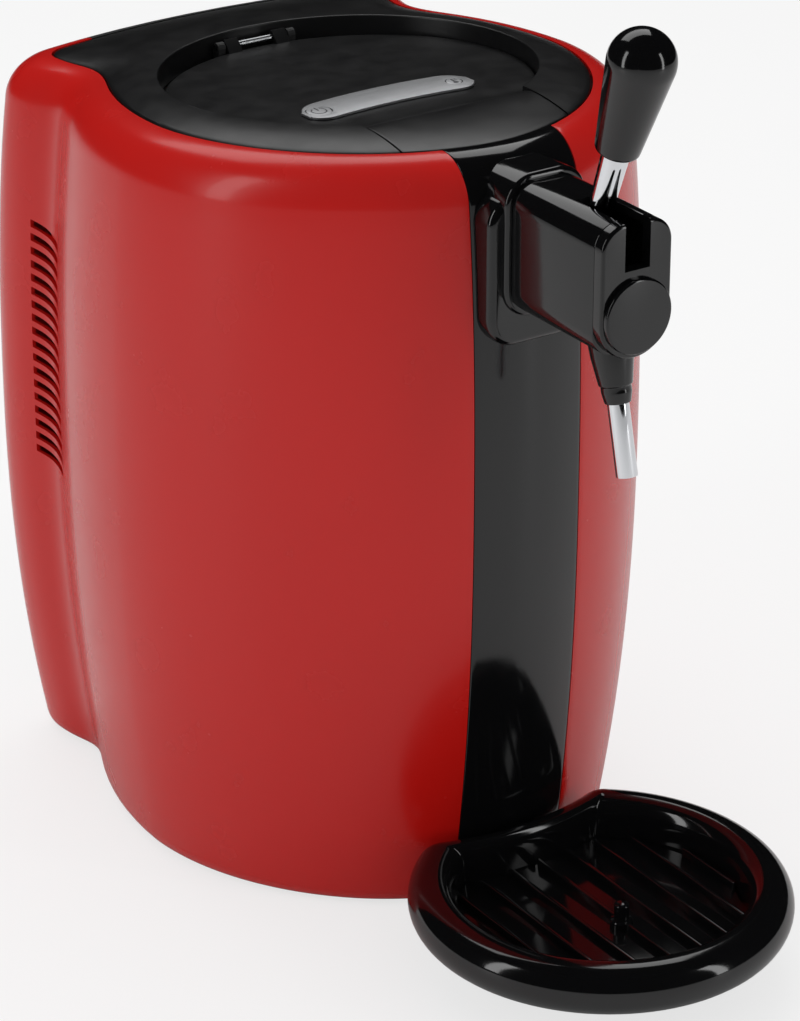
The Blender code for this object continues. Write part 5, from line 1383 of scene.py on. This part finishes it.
class KEG_OT_stage(bpy.types.Operator):
    """Build the floor, the studio light and the camera"""
    bl_idname = "keg.stage"
    bl_label = "Stage"

    def execute(self, context):
        scene = context.scene
        scene.view_settings.view_transform = "Standard"

        def staged(name, bm, coat):
            mesh = bpy.data.meshes.new(name)
            bm.to_mesh(mesh)
            bm.free()
            mesh.materials.append(coat)
            made = bpy.data.objects.new(name, mesh)
            scene.collection.objects.link(made)
            return made

        # The camera sees the floor near white; everything else sees its paint.
        coat, tree, shader, place = surface("painted studio floor",
                                            {"Roughness": 0.55, "IOR": 1.45})
        tinted(tree, shader, place, 0.5, list(scene.keg_colours.floor), 0.01)
        path = add(tree, "LightPath")
        share = add(tree, "Math", {0: path.outputs["Is Camera Ray"], 1: floor_glow},
                    operation="MULTIPLY")
        glow = add(tree, "Emission", {"Color": white, "Strength": 1.0})
        mix = add(tree, "MixShader", {0: share.outputs[0], 1: shader.outputs[0],
                                      2: glow.outputs[0]})
        tree.links.new(mix.outputs[0], tree.nodes["Material Output"].inputs["Surface"])
        bm = bmesh.new()
        bmesh.ops.create_grid(bm, x_segments=2, y_segments=2, size=floor_half)
        bmesh.ops.translate(bm, vec=(0, 0, -0.0001), verts=bm.verts)
        staged("studio_floor", bm, coat)

        # A dark tent that only reflections see, so the black plastic mirrors a dark room.
        coat, tree, shader, place = surface("black studio cloth",
                                            {"Roughness": 1.0, "Specular IOR Level": 0.0})
        tinted(tree, shader, place, 0.5, linear("141414"), 0.05)
        bm = bmesh.new()
        bmesh.ops.create_cube(bm, size=tent_size, matrix=Matrix.Translation((0, 0, tent_middle)))
        bmesh.ops.reverse_faces(bm, faces=bm.faces)
        tent = staged("dark_tent", bm, coat)
        tent.visible_camera = tent.visible_diffuse = False
        tent.visible_shadow = tent.visible_transmission = False

        world = bpy.data.worlds.new("studio")
        scene.world = world
        world.use_nodes = True
        tree = world.node_tree
        tree.nodes.clear()
        path = add(tree, "LightPath")
        seen = add(tree, "Math", {0: path.outputs["Is Camera Ray"], 1: path.outputs["Is Glossy Ray"]},
                   operation="MAXIMUM")
        seen = add(tree, "Math", {0: seen.outputs[0], 1: path.outputs["Is Transmission Ray"]},
                   operation="MAXIMUM")
        fill = add(tree, "Background", {"Color": white, "Strength": world_fill})
        shown = add(tree, "Background", {"Color": white, "Strength": 1.0})
        mix = add(tree, "MixShader", {0: seen.outputs[0], 1: fill.outputs[0], 2: shown.outputs[0]})
        add(tree, "OutputWorld", {"Surface": mix.outputs[0]})

        for name, place, size, power in lamps:
            light = bpy.data.lights.new(name, "AREA")
            light.shape = "RECTANGLE"
            light.size, light.size_y = size
            light.energy = power
            lamp = bpy.data.objects.new(name, light)
            lamp.location = place
            aim = Vector(lamp_target) - Vector(place)
            lamp.rotation_euler = aim.to_track_quat("-Z", "Y").to_euler()
            scene.collection.objects.link(lamp)

        lens = bpy.data.cameras.new("camera")
        lens.lens = camera_lens
        lens.sensor_fit = "AUTO"
        lens.sensor_width = 36.0
        lens.shift_x, lens.shift_y = camera_shift
        lens.clip_start, lens.clip_end = 0.05, 50
        camera = bpy.data.objects.new("camera", lens)
        level = math.cos(camera_rise)
        back = Vector((math.sin(camera_turn) * level, -math.cos(camera_turn) * level,
                       math.sin(camera_rise)))
        camera.location = camera_place
        camera.rotation_euler = (-back).to_track_quat("-Z", "Y").to_euler()
        scene.collection.objects.link(camera)
        scene.camera = camera
        return {"FINISHED"}


class KEG_PT_panel(bpy.types.Panel):
    """Lists the dispenser's colours, sizes and pieces"""
    bl_idname = "KEG_PT_panel"
    bl_label = "Keg Dispenser"
    bl_space_type = "VIEW_3D"
    bl_region_type = "UI"
    bl_category = "Keg Dispenser"

    def draw(self, context):
        layout = self.layout
        for group in (context.scene.keg_colours, context.scene.keg_sizes):
            box = layout.box()
            for key in group.__annotations__:
                box.prop(group, key)
        column = layout.column(align=True)
        for operator in operators:
            column.operator(operator.bl_idname)


operators = (KEG_OT_housing, KEG_OT_column, KEG_OT_deck, KEG_OT_lid, KEG_OT_badge, KEG_OT_tap,
             KEG_OT_lever, KEG_OT_spout, KEG_OT_tray, KEG_OT_works, KEG_OT_stage)
classes = (KegColours, KegSizes) + operators + (KEG_PT_panel,)


def register():
    for item in classes:
        bpy.utils.register_class(item)
    bpy.types.Scene.keg_colours = bpy.props.PointerProperty(type=KegColours)
    bpy.types.Scene.keg_sizes = bpy.props.PointerProperty(type=KegSizes)


def unregister():
    del bpy.types.Scene.keg_colours
    del bpy.types.Scene.keg_sizes
    for item in reversed(classes):
        bpy.utils.unregister_class(item)


def main():
    register()
    for operator in operators:
        group, name = operator.bl_idname.split(".")
        getattr(getattr(bpy.ops, group), name)()


if __name__ == "__main__":
    main()
